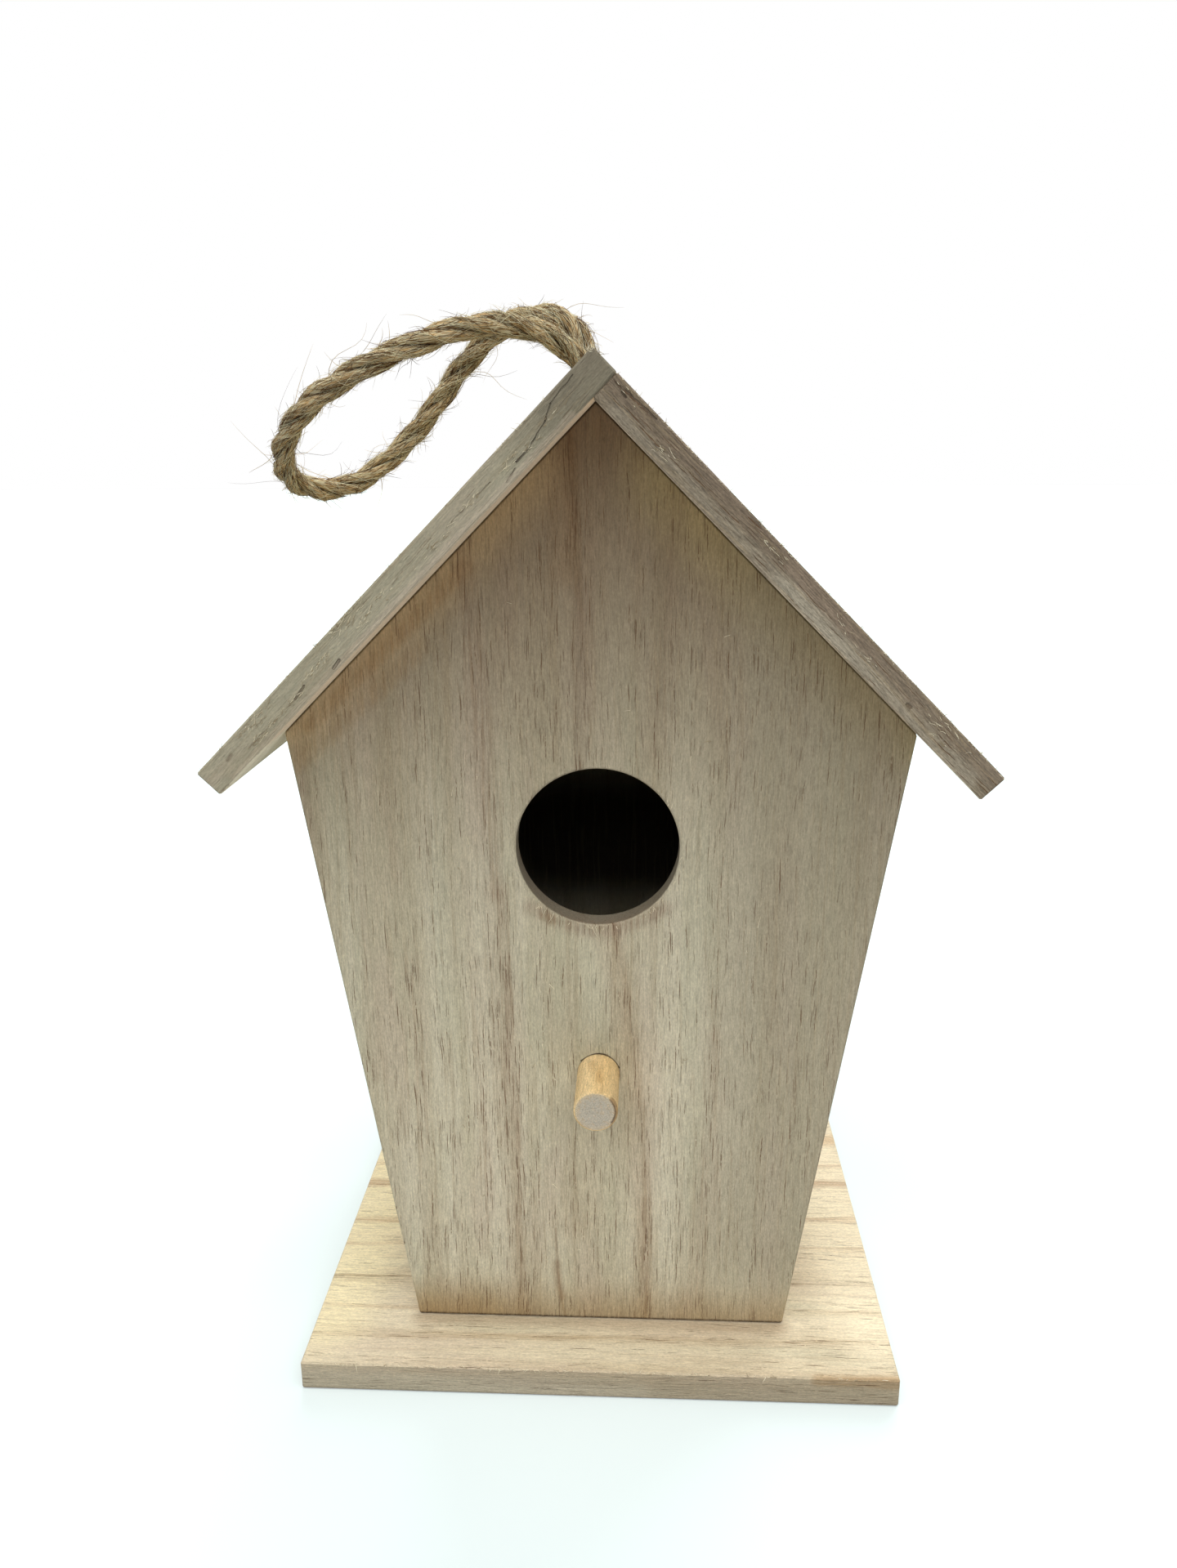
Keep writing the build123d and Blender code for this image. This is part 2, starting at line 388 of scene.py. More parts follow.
@dataclass(frozen=True)
class Mark:
    """A place of other colour, or a sunken one, along a line from start to end.

    Both ends are (across, deep, along) in millimetres. The mark fills the space within its
    radius of that line, fading out from the core; the line may bow sideways, and noise
    moves it about and breaks it up.
    """

    start: Triple
    end: Triple
    radius: float
    shade: Triple
    strength: float
    core: float = 0.2
    swerve: float = 1.0
    patchy: float = 0.0
    crowd: float = 0.0  # how many more pores it holds
    depth: float = 0.0  # how deep it is, in parts of the relief
    bow: Triple = (0.0, 0.0, 0.0)

    @classmethod
    def rows(cls, axis: int, level: float, *rows: Union[tuple, "Mark"]) -> tuple["Mark", ...]:
        """Marks that share one coordinate.

        Args:
            axis: The coordinate that they share: 0 across or 1 deep.
            level: Its value.
            rows: For each mark the other two coordinates of its start and of its end, then
                its fields from the radius on. A mark that is already made may stand between.

        Returns:
            The marks in order.
        """
        marks = []
        for row in rows:
            if not isinstance(row, cls):
                ends = ((*end[:axis], level, *end[axis:]) for end in (row[:2], row[2:4]))
                row = cls(*ends, *row[4:])
            marks.append(row)
        return tuple(marks)

    def mask(self, graph: Graph, place: Socket, sway: Socket, fine: Socket) -> Socket:
        """How much of the mark lies at a place.

        The nearest point of the line is at the share t of it, kept from 0 to 1. The bow moves
        that point by 4 t (1 - t) of itself. The mask is 1 within the core and falls to 0 at
        the radius.

        Args:
            graph: The material's graph.
            place: The place in millimetres.
            sway: Noise about 0 for each axis.
            fine: Fibre noise about 0.5.

        Returns:
            A number from 0 to 1.
        """
        line = np.array(self.end, float) - np.array(self.start, float)
        shifted = graph.vector("ADD", place, graph.vector("MULTIPLY", sway, (self.swerve,) * 3))
        away = graph.vector("SUBTRACT", shifted, self.start)
        share = graph.number("DOT_PRODUCT", away, (line / (line @ line)).tolist())
        share = graph.math("MINIMUM", graph.math("MAXIMUM", share, 0.0), 1.0)
        spot = graph.scale(line.tolist(), share)
        if any(self.bow):
            hump = graph.times(4.0, share, graph.math("SUBTRACT", 1.0, share))
            spot = graph.vector("ADD", spot, graph.scale(self.bow, hump))
        off = graph.number("DISTANCE", away, spot)
        mask = graph.ease(off, self.radius, self.core * self.radius)
        if self.patchy:
            torn = graph.ramp(graph.ease(fine, *TORN), self.patchy, 1.0 - self.patchy)
            mask = graph.times(mask, torn)
        return mask


@dataclass(frozen=True)
class WoodFinish:
    """Sanded, unsealed pale wood: broad tones, growth lines, fibres and open pores."""

    name: str
    grain: Grain
    body: Triple = (197, 188, 160)
    pale: Triple = (212, 204, 178)
    dark: Triple = (158, 140, 110)
    pore: Triple = (112, 84, 58)
    warm: Triple = (200, 176, 158)  # a faint pink tint in patches
    cool: Triple = (188, 190, 160)  # a faint green tint in patches
    tint: float = 0.22
    lines: float = 0.2  # strength of the growth lines
    line_pitch: float = 3.0  # millimetres between growth lines
    fibres: float = 0.5  # strength of the fibres
    grit: float = 0.42  # strength of the fine, short grain
    pores: float = 0.8  # strength of the pores
    pore_size: tuple[float, float] = (0.5, 18.0)  # of the cell that holds one: across, along
    relief: float = 0.00024
    shift: float = 0.0
    marks: tuple[Mark, ...] = ()

    def dashes(
        self, graph: Graph, place: Socket, crowd: Value, size: float, shift: float
    ) -> Socket:
        """Open pores: thin dashes along the grain, strung one after another in columns.

        Cells drawn out along the grain hold at most one dash each, as wide as a share of the
        cell. A column noise, raised where pores crowd, says which cells are open. The cells
        are flat and slanted, so that they cut a face and an edge alike.

        Args:
            graph: The material's graph.
            place: The place in millimetres.
            crowd: How crowded the pores are, from 0 to about 3.
            size: Scales the cells.
            shift: Sets this layer apart from others.

        Returns:
            A number from 0 to 1.
        """
        wide, tall = (size * share for share in self.pore_size)
        across = graph.number("DOT_PRODUCT", place, (1.0 / wide, 0.83 / wide, 0.0))
        along = graph.number("DOT_PRODUCT", place, (0.0, 0.0, 1.0 / tall))
        shift += self.shift
        moves = (shift, shift * SHIFT_SHARES[1], 0.0)
        flat = graph.vector("ADD", graph.combine(across, along, 0.0), moves)
        cells = graph.add("TexVoronoi", {"Vector": flat, "Scale": 1.0}, voronoi_dimensions="2D")
        chance = graph.number("DOT_PRODUCT", cells.outputs["Color"], X_AXIS)
        column = graph.noise(place, (1.6 * wide, 1.6 * wide, 6.0 * tall), shift, 1.0)
        gate = graph.ramp(crowd, 0.9, graph.ramp(column, 6.5, -3.5))
        open_cell = graph.ease(graph.math("SUBTRACT", gate, chance), 0.0, 0.12)
        narrow = graph.math("DIVIDE", cells.outputs["Distance"], graph.ramp(chance, 0.09, 0.095))
        bead = graph.noise(place, (0.45, 0.45, 0.9), shift, 1.0)
        return graph.times(graph.ease(narrow, 1.2, 0.7), open_cell, graph.ease(bead, 0.3, 0.44))

    def build(self) -> Material:
        """Makes the material, which reads object coordinates alone.

        Returns:
            The material.
        """
        graph = Graph(bpy.data.materials.new(self.name))
        shift, pitch = self.shift, self.line_pitch
        straight = self.grain.place(graph)
        sway = graph.sway(straight, (26, 26, 80), shift, (3.4, 3.4, 0))
        ripple = graph.sway(straight, (3, 3, 11), shift, (0.5, 0.5, 0))
        jitter = graph.sway(straight, (0.8, 0.8, 1.8), shift, (0.22, 0.22, 0))
        wander = graph.vector("ADD", ripple, jitter)
        place = graph.vector("ADD", graph.vector("ADD", straight, sway), ripple)
        rough = graph.vector("ADD", place, jitter)

        broad = graph.noise(place, (8, 8, 150), shift, 3.0)
        patch = graph.noise(place, (8, 8, 60), shift + 5.3)
        growth = graph.noise(place, (pitch, pitch, 110), shift + 1.1)
        thread = graph.noise(place, (0.6, 0.6, 26), shift + 3.9, rough=0.6)
        fibre = graph.noise(rough, (0.24, 0.24, 3), shift + 2.2, rough=0.6)
        speck = graph.noise(rough, (0.26, 0.26, 0.6), shift + 4.1, rough=0.7)

        colour = graph.blend(graph.ease(broad, 0.36, 0.64), self.body, self.pale)
        colour = graph.wash(colour, self.warm, patch, 0.52, 0.68, self.tint)
        colour = graph.wash(colour, self.cool, patch, 0.47, 0.32, self.tint)
        colour = graph.wash(colour, self.dark, growth, 0.5, 0.7, self.lines)

        crowd: Value = graph.times(graph.ease(growth, 0.46, 0.6), 0.4)
        hollow: Value = 0.0
        for mark in self.marks:
            mask = mark.mask(graph, straight, wander, thread)
            colour = graph.blend(graph.times(mask, mark.strength), colour, mark.shade)
            if mark.crowd:
                crowd = graph.ramp(mask, mark.crowd, crowd)
            if mark.depth:
                hollow = graph.ramp(mask, mark.depth, hollow)

        colour = graph.wash(colour, self.dark, thread, 0.46, 0.36, 0.45 * self.fibres)
        for pattern, swing in ((fibre, 1.6 * self.fibres), (speck, 1.6 * self.grit)):
            colour = graph.scale(colour, graph.ramp(pattern, swing, 1.0 - swing / 2))

        hairline = self.dashes(graph, rough, graph.math("ADD", crowd, 0.3), 0.7, 2.6)
        fine = self.dashes(graph, rough, graph.math("SUBTRACT", crowd, 0.05), 1.0, 6.4)
        long = self.dashes(graph, rough, graph.math("SUBTRACT", crowd, 0.7), 1.25, 8.8)
        wide = graph.math("MAXIMUM", fine, long)
        pore = graph.math("MAXIMUM", wide, graph.times(hairline, 0.8))
        colour = graph.blend(graph.times(pore, self.pores), colour, self.pore)

        height = graph.ramp(speck, 0.3, graph.ramp(fibre, 0.4, graph.times(thread, 0.3)))
        height = graph.math("SUBTRACT", height, graph.times(pore, 0.2))
        height = graph.math("SUBTRACT", height, hollow)
        return graph.finish(colour, graph.ramp(fibre, 0.2, 0.72), height, self.relief)


# ---- studio


class Lamp(Enum):
    """The kinds of lamp that the studio uses, by Blender's own names."""

    SUN = "SUN"
    AREA = "AREA"


@dataclass
class Studio:
    """The floor, the light and the camera."""

    eye: Triple = (0.00821, -0.24060, 0.17537)
    heading: float = -0.0485  # radians to the right of +Y
    tilt: float = -0.2739  # radians above level
    roll: float = -0.0065
    lens: float = 27.05
    sensor: float = 36.0
    nearest: float = 0.01
    floor_half: float = 6.0
    floor_shade: float = 0.22  # what lights the object from below
    floor_seen: Triple = (0.72, 0.82, 0.82)  # what the camera sees
    floor_glow: Triple = (0.17, 0.17, 0.17)  # seen by the camera alone
    sky: float = 0.05

    def hang(self, data: bpy.types.ID, place: Triple, *axes: Array) -> Piece:
        """Puts a lamp or the camera into the room under its own name.

        Args:
            data: The lamp or camera.
            place: Where it is.
            axes: Where its own x, y and z axes point.

        Returns:
            The object that holds it.
        """
        holder = bpy.data.objects.new(data.name, data)
        turned = Matrix(np.stack(axes, 1).tolist()).to_4x4()
        turned.translation = place
        holder.matrix_world = turned
        bpy.context.scene.collection.objects.link(holder)
        return holder

    def camera(self) -> None:
        """Sets up the camera: its axes come from heading, tilt and roll by sines and cosines."""
        sin_h, cos_h = np.sin(self.heading), np.cos(self.heading)
        sin_t, cos_t = np.sin(self.tilt), np.cos(self.tilt)
        ahead = np.array([sin_h * cos_t, cos_h * cos_t, sin_t])
        level = np.array([cos_h, -sin_h, 0.0])
        over = np.cross(level, ahead)
        right = level * np.cos(self.roll) + over * np.sin(self.roll)
        up = over * np.cos(self.roll) - level * np.sin(self.roll)
        lens = bpy.data.cameras.new("camera")
        lens.lens = self.lens
        lens.sensor_width = self.sensor
        lens.clip_start = self.nearest
        bpy.context.scene.camera = self.hang(lens, self.eye, right, up, -ahead)

    def floor(self) -> None:
        """Lays a wide pale floor that keeps its soft shadow and shows as plain white."""
        corners = np.array([(-1, -1, 0), (1, -1, 0), (1, 1, 0), (-1, 1, 0)]) * self.floor_half
        plane = add_mesh("floor", corners, np.array([[0, 1, 2, 3]]))
        graph = Graph(bpy.data.materials.new("floor_white"))
        seen, below = graph.seen(), self.floor_shade
        shade = graph.mix(seen, (below, below, below, 1.0), (*self.floor_seen, 1.0))
        paper = graph.add("BsdfDiffuse", {"Color": shade}).outputs[0]
        glow = {"Color": (*self.floor_glow, 1.0), "Strength": seen}
        both = graph.add("AddShader", {0: paper, 1: graph.add("Emission", glow).outputs[0]})
        graph.add("OutputMaterial", {0: both.outputs[0]})
        plane.data.materials.append(graph.owner)

    def world(self) -> None:
        """Gives the room its light, and the camera a white background."""
        world = bpy.data.worlds.new("room")
        bpy.context.scene.world = world
        graph = Graph(world)
        strength = graph.add("MapRange", {"Value": graph.seen(), "To Min": self.sky})
        white = {"Color": (1.0, 1.0, 1.0, 1.0), "Strength": strength.outputs[0]}
        graph.add("OutputWorld", {0: graph.add("Background", white).outputs[0]})

    def lamp(
        self, name: str, kind: Lamp, place: Triple, energy: float, size: float,
        aim: Triple = (0.0, 0.0, 0.0),
    ) -> None:
        """Hangs one lamp.

        Args:
            name: The lamp's name.
            kind: A sun, or a card of light.
            place: Where it is.
            energy: Its strength.
            size: A sun's angle in degrees, or an area lamp's side.
            aim: A point that it shines at.
        """
        data = bpy.data.lights.new(name, kind.value)
        data.energy = energy
        if kind is Lamp.SUN:
            data.angle = np.radians(size)
        else:
            data.size = size
        back = unit(np.array(place) - np.array(aim))
        side = unit(np.cross((0.0, 1.0, 0.02), back))  # no lamp shines quite along +Y
        self.hang(data, place, side, np.cross(back, side), back).visible_camera = False

    def build(self) -> None:
        """Makes the whole studio."""
        bpy.context.scene.view_settings.view_transform = "Standard"
        self.camera()
        self.floor()
        self.world()
        self.lamp("key", Lamp.SUN, (0.0, -0.60, 1.0), 1.75, 80.0)
        self.lamp("overhead", Lamp.SUN, (0.0, -0.17, 1.0), 0.95, 100.0)
        self.lamp("rim", Lamp.SUN, (0.25, 1.4, 1.0), 2.3, 60.0)
        self.lamp("left_side", Lamp.SUN, (-1.0, 0.0, 1.0), 0.35, 50.0)
        self.lamp("right_side", Lamp.SUN, (1.0, 0.0, 1.0), 0.35, 50.0)
        self.lamp("low_card", Lamp.AREA, (0.0, -0.14, 0.004), 0.075, 0.14, (0.0, -0.14, 0.15))
        log.info("studio ready")


# ---- rope


@dataclass(frozen=True)
class JuteFinish:
    """Dry twisted jute: fibres that run with each strand, golden outside, with painted shade in the
    grooves between strands.
    """

    name: str = "jute_fibre"
    light: Triple = (255, 245, 206)
    body: Triple = (248, 208, 146)
    dark: Triple = (96, 65, 34)
    # painted shade in the grooves between strands
    olive: Triple = (200, 172, 120)
    groove: Triple = (56, 40, 24)
    half_girth: float = 3.27  # millimetres from a strand's outermost line to its innermost
    slant: float = 0.35  # of the fibres on a strand, sideways for each step along
    relief: float = 0.0009

    def build(self) -> Material:
        """Makes the strands' material, which reads the piece's own UV map in millimetres.

        Returns:
            The material.
        """
        graph = Graph(bpy.data.materials.new(self.name))
        chart = graph.add("UVMap", {}, uv_map=CHART).outputs[0]
        place = graph.vector("MULTIPLY", chart, (0.1 / MM, 0.1 / MM, 1.0))
        along, around, _ = graph.add("SeparateXYZ", {0: place}).outputs
        wound = graph.combine(along, graph.ramp(along, self.slant, around), 0.0)
        wound = graph.vector("ADD", wound, graph.sway(wound, (4, 1.5, 1), 0.0, (0, 0.9, 0)))
        fine = graph.noise(wound, (3, 0.15, 1), rough=0.6)
        coarse = graph.noise(wound, (5, 0.45, 1), 2.0)
        patch = graph.noise(wound, (7, 3, 1), 5.0)
        colour = graph.blend(graph.ease(coarse, 0.34, 0.56), self.dark, self.body)
        colour = graph.wash(colour, self.olive, patch, 0.48, 0.66, 0.6)
        colour = graph.wash(colour, self.light, fine, 0.48, 0.58, 0.95)
        colour = graph.wash(colour, self.dark, fine, 0.46, 0.36, 0.85)
        # painted shade along each strand's innermost line, in the groove between strands
        inner = graph.math("ABSOLUTE", graph.math("SUBTRACT", around, self.half_girth))
        colour = graph.wash(colour, self.groove, inner, 1.75, 1.0, 0.85)
        height = graph.ramp(fine, 0.7, graph.times(coarse, 0.7))
        return graph.finish(colour, 0.85, height, self.relief)


@dataclass(frozen=True)
class HairFinish:
    """Loose fibres, each of its own shade between two colours."""

    name: str
    dark: Triple
    light: Triple
    patch: float = 0.0012  # of one shade
    relief: float = 0.00003

    def build(self) -> Material:
        """Makes the material, which reads the fibre's own shade and varies along it.

        Returns:
            The material.
        """
        graph = Graph(bpy.data.materials.new(self.name))
        own = graph.add("Attribute", {}, attribute_name=SHADE).outputs["Fac"]
        grain = graph.noise(graph.object_place(), (self.patch,) * 3)
        share = graph.ramp(grain, 0.5, graph.math("SUBTRACT", own, 0.25))
        colour = graph.blend(graph.ease(share, 0.3, 0.64), self.dark, self.light)
        return graph.finish(colour, 0.7, grain, self.relief)


@dataclass
class Line:
    """A smooth line through space with a steady frame, for things that follow it."""

    points: Array

    def __post_init__(self) -> None:
        """Works out arc length, tangents and a frame that doesn't spin.

        The first guess at a normal is a fixed direction made square to the tangent. The spin
        that it has from one point to the next is added up and taken back.
        """
        steps = np.linalg.norm(np.diff(self.points, axis=0), axis=1)
        self.reach = np.concatenate([[0.0], np.cumsum(steps)])
        self.length = float(self.reach[-1])
        self.tangent = unit(np.gradient(self.points, self.reach, axis=0))
        normal = unit(square_to(FIXED_WAY, self.tangent))
        other = np.cross(self.tangent, normal)
        carried = square_to(normal[:-1], self.tangent[1:])
        spin = np.arctan2(np.sum(carried * other[1:], 1), np.sum(carried * normal[1:], 1))
        turn = np.concatenate([[0.0], np.cumsum(spin)])[:, None]
        self.normal = normal * np.cos(turn) + other * np.sin(turn)
        self.other = np.cross(self.tangent, self.normal)

    def at(self, reach: Array) -> tuple[Array, ...]:
        """The point, tangent, normal and binormal at distances along the line."""
        return tuple(
            np.stack([np.interp(reach, self.reach, part) for part in track.T], -1)
            for track in (self.points, self.tangent, self.normal, self.other)
        )

    def around(self, reach: Array, angle: Array, radius: Array) -> Array:
        """Points at a distance along the line, an angle about it and a radius from it."""
        centre, _, normal, other = self.at(reach)
        return circled(centre, normal, other, angle, radius)


@dataclass
class FibreField:
    """Many thin tapered fibres in one piece, each a four-sided tube."""

    name: str
    finish: HairFinish
    slot: str
    seed: int
    thickness: float
    spread: tuple[float, float] = (0.7, 1.3)  # of the thickness, from fibre to fibre
    cut: float = 0.97  # how far along its taper a fibre ends

    def build(self, *groups: Array) -> Piece:
        """Makes the piece.

        Each ring is a small square across its fibre, whose size falls from the root to the
        tip: thickness times the root of one minus the share of the length.

        Args:
            groups: Points of fibres, as (fibre, point, xyz).

        Returns:
            The finished piece, riding on the body.
        """
        chance = np.random.default_rng(self.seed)
        paths = np.concatenate(groups)
        count, rings, _ = paths.shape
        tangent = unit(np.gradient(paths, axis=1))
        normal = unit(square_to(unit(chance.normal(size=(count, 1, 3))), tangent))
        taper = np.sqrt(1.0 - np.linspace(0.0, self.cut, rings))[None, :, None]
        size = self.thickness / 2 * taper * chance.uniform(*self.spread, (count, 1, 1))
        corner = np.arange(4)[None, None] * TURN / 4
        across = (normal[:, :, None], np.cross(tangent, normal)[:, :, None])
        points = circled(paths[:, :, None], *across, corner, size)
        piece = add_mesh(self.name, points, tube_faces(count, rings, 4))
        shade = np.repeat(chance.uniform(0.0, 1.0, count), rings * 4)
        piece.data.attributes.new(SHADE, "FLOAT", "POINT").data.foreach_set("value", shade)
        piece.data.materials.append(self.finish.build())
        return hand_in(piece, self.slot)


@dataclass
class RopeLoop:
    """The jute loop: a three-strand rope, its loose fibres, and its knot inside the roof."""

    diameter: float = 0.0046
    length: float = 0.198
    turn_length: float = 0.027  # of one strand round the rope
    strand_width: float = 0.00214
    strand_out: float = 0.00114  # from the rope's middle to a strand's
    ring_pitch: float = 0.0003
    swells: tuple[tuple[float, float], ...] = ((0.031, 0.05), (0.0117, 0.04), (0.0053, 0.03))
    ridges: tuple[Triple, ...] = ((6, 0.0020, 0.05), (10, 0.0013, 0.03))  # count, pitch, share
    laid_ends: tuple[float, float] = (0.004, 0.013)  # where no lying fibre starts
    laid_reach: tuple[float, float] = (0.003, 0.009)  # of the rope that one covers
    laid_bend: float = 0.4  # of its angle, in radians
    laid_height: tuple[float, float] = (-0.00002, 0.00006)  # mean and spread, over the strands
    bridging: float = 0.25  # how far it is raised over a groove
    stray_root: float = 0.0018  # of a stray fibre, from the rope's middle
    stray_ends: float = 0.012  # where none leaves
    stray_out: tuple[float, float] = (0.15, 1.1)  # how far outwards for each step along
    stray_curl: tuple[float, float] = (0.1, 0.6)  # in parts of its length
    stray_wave: float = 0.12  # the most that it waves, in parts of its length
    fray_spread: float = 0.0009
    fray_start: float = 0.0015  # above the tails' ends
    fray_fall: tuple[float, float] = (-0.0030, -0.0016)
    fray_bend: float = 0.0004
    spline_order: int = 3
    spline_steps: int = 24  # from one control point to the next
    knot_steps: int = 24
    knot_middle: Triple = (0.0, 0.0, 0.1703)
    knot_sweep: Triple = (0.0046, 0.0022, 0.0042)  # ring radius, its swing, and the rise
    # a leg goes (sideways, down) from its hole, and a tail hangs at (sideways, height)
    leg: tuple[tuple[float, float], ...] = ((0.0, 0.0), (0.0, 0.003), (0.003, 0.008))
    tail: tuple[tuple[float, float], ...] = ((0.0022, 0.1690), (0.0034, 0.1610), (0.0036, 0.1530))
    route: tuple[Triple, ...] = (
        (-0.0015, -0.0025, 0.1787),
        (-0.0015, -0.0025, 0.1890),
        (-0.0090, -0.0060, 0.1970),
        (-0.0205, -0.0135, 0.1985),
        (-0.0320, -0.0180, 0.1950),
        (-0.0440, -0.0190, 0.1900),
        (-0.0550, -0.0155, 0.1840),
        (-0.0625, -0.0080, 0.1760),
        (-0.0635, 0.0035, 0.1690),
        (-0.0545, 0.0135, 0.1680),
        (-0.0445, 0.0185, 0.1755),
        (-0.0360, 0.0175, 0.1850),
        (-0.0280, 0.0135, 0.1945),
        (-0.0185, 0.0090, 0.2015),
        (-0.0065, 0.0045, 0.2015),
        (-0.0015, 0.0025, 0.1900),
        (-0.0015, 0.0025, 0.1787),
    )

    @property
    def twist(self) -> float:
        """How fast the strands turn about the rope, in radians per metre."""
        return TURN / self.turn_length

    def centre_line(self, places: Sequence[Triple], cyclic: bool = False) -> Line:
        """The smooth line of a NURBS spline that has the places as its control points.

        Args:
            places: The control points.
            cyclic: Whether the spline is closed.

        Returns:
            The line, read from the spline with no bevel.
        """
        curve = bpy.data.curves.new("route", "CURVE")
        curve.dimensions = "3D"
        spline = curve.splines.new("NURBS")
        spline.points.add(len(places) - 1)
        spline.points.foreach_set("co", [c for place in places for c in (*place, 1.0)])
        spline.order_u = self.spline_order
        spline.use_endpoint_u = not cyclic
        spline.use_cyclic_u = cyclic
        curve.resolution_u = self.spline_steps
        holder = bpy.data.objects.new("route", curve)
        bpy.context.scene.collection.objects.link(holder)
        bpy.context.view_layer.update()
        held = holder.evaluated_get(bpy.context.evaluated_depsgraph_get())
        mesh = bpy.data.meshes.new_from_object(held)
        flat = np.empty(len(mesh.vertices) * 3)
        mesh.vertices.foreach_get("co", flat)
        bpy.data.objects.remove(holder)
        bpy.data.curves.remove(curve)
        bpy.data.meshes.remove(mesh)
        points = flat.reshape(-1, 3)
        apart = np.linalg.norm(np.diff(points, axis=0), axis=1) > 1e-7
        return Line(points[np.concatenate([[True], apart])])

    def strand_grid(
        self, line: Line, chance: np.random.Generator, rings: int, sides: int
    ) -> Array:
        """The surface points of three strands wound about a line.

        Strand k's middle stands off the line by strand_out, at an angle that grows by a full
        turn in each turn_length. Its section is a circle whose radius has slow swells and a
        few ridges that wind with its own yarns.

        Args:
            line: What the rope follows.
            chance: For the swells.
            rings: Rings along each strand.
            sides: Vertices in each ring.

        Returns:
            Points as (strand, ring, side, xyz).
        """
        reach = np.broadcast_to(np.linspace(0.0, line.length, rings), (3, rings))
        angle = reach * self.twist + np.arange(3)[:, None] * TURN / 3
        middle = line.around(reach, angle, np.full(reach.shape, self.strand_out))
        tangent = unit(np.gradient(middle, axis=1))
        outward = unit(square_to(middle - line.at(reach)[0], tangent))
        other = np.cross(tangent, outward)
        side = np.arange(sides)[None, None] * TURN / sides
        waves = chance.uniform(0.0, TURN, (3, 4, 1))
        shape = 1.0
        for k, (pitch, share) in enumerate(self.swells):
            shape = shape + np.sin(reach / pitch * TURN + waves[:, k]) * share
        shape = shape[..., None]
        for (folds, pitch, share), wave in zip(self.ridges, (waves[:, 3, :, None], 0.0)):
            shape = shape + share * np.sin(folds * side - reach[..., None] / pitch + wave)
        radius = self.strand_width / 2 * shape
        return circled(middle[:, :, None], outward[:, :, None], other[:, :, None], side, radius)

    def strands(
        self, name: str, node: str, lines: list[Line], seed: int, sides: int, finish: Material
    ) -> Piece:
        """Three-strand ropes along several lines, as one piece.

        Its UV map is in tenths of a metre: along the rope, and round the strand.

        Args:
            name: The piece's name.
            node: The CAD node that it stands for.
            lines: What the ropes follow.
            seed: For the swells.
            sides: Vertices in each ring.
            finish: The strands' material.

        Returns:
            The finished piece, riding on the body.
        """
        chance = np.random.default_rng(seed)
        girth = np.pi * self.strand_width
        points, faces, chart, base = [], [], [], 0
        for line in lines:
            rings = int(line.length / self.ring_pitch)
            points.append(self.strand_grid(line, chance, rings, sides).reshape(-1, 3))
            quads = tube_faces(3, rings, sides)
            ring, side = quads // sides % rings, quads % sides
            around = side / sides * girth
            walls = slice(0, 3 * (rings - 1) * sides)
            around[walls, 1:3] += np.where(side[walls, :1] == sides - 1, girth, 0.0)
            chart.append(np.stack([ring * line.length / rings, around], -1) * 10)
            faces.append(quads + base)
            base += len(points[-1])
        piece = add_mesh(name, np.concatenate(points), np.concatenate(faces))
        flat = np.concatenate(chart).reshape(-1)
        piece.data.uv_layers.new(name=CHART).data.foreach_set("uv", flat)
        piece.data.materials.append(finish)
        return hand_in(piece, ROPE_SLOT, node)

    def surface_fibres(
        self, line: Line, count: int, seed: int, slant: float, lift: float
    ) -> Array:
        """Short fibres that lie on the rope and cross its strands at a small angle.

        A fibre's distance along the rope grows evenly, its angle follows the strands' turn
        plus a slant of its own, and its radius rises a little towards its free end. It lies
        on the strands: at an angle a from the nearest strand's middle, their surface is at
        d cos a + sqrt(r squared - (d sin a) squared), for strands of radius r whose middles
        stand off by d. Over the groove between two strands it is bridged by a quarter.

        Args:
            line: The rope's middle line.
            count: How many fibres.
            seed: For their places.
            slant: How far a fibre strays from the strands' turn, in radians over its length.
            lift: How far its free end stands off, in metres. Both are standard deviations.

        Returns:
            The fibres' points.
        """
        chance = np.random.default_rng(seed)
        t = np.linspace(0.0, 1.0, 8)[None, :]
        first, last = self.laid_ends
        start = chance.uniform(first, line.length - last, (count, 1))
        reach = start + t * chance.uniform(*self.laid_reach, (count, 1))
        own = chance.normal(0.0, slant, (count, 1))
        angle = chance.uniform(0, TURN, (count, 1)) + (reach - start) * self.twist
        angle = angle + own * t + chance.normal(0.0, self.laid_bend, (count, 1)) * t**2
        free = np.abs(chance.normal(0.0, lift, (count, 1)))
        third, half, out = TURN / 3, self.strand_width / 2, self.strand_out
        apart = np.mod(angle - reach * self.twist + third / 2, third) - third / 2
        round_part = np.maximum(half**2 - (out * np.sin(apart)) ** 2, 0.0)
        skin = (1.0 - self.bridging) * (out * np.cos(apart) + np.sqrt(round_part))
        skin = skin + self.bridging * (out + half)
        radius = skin + free * t**2 + chance.normal(*self.laid_height, (count, 1))
        return line.around(reach, angle, radius)

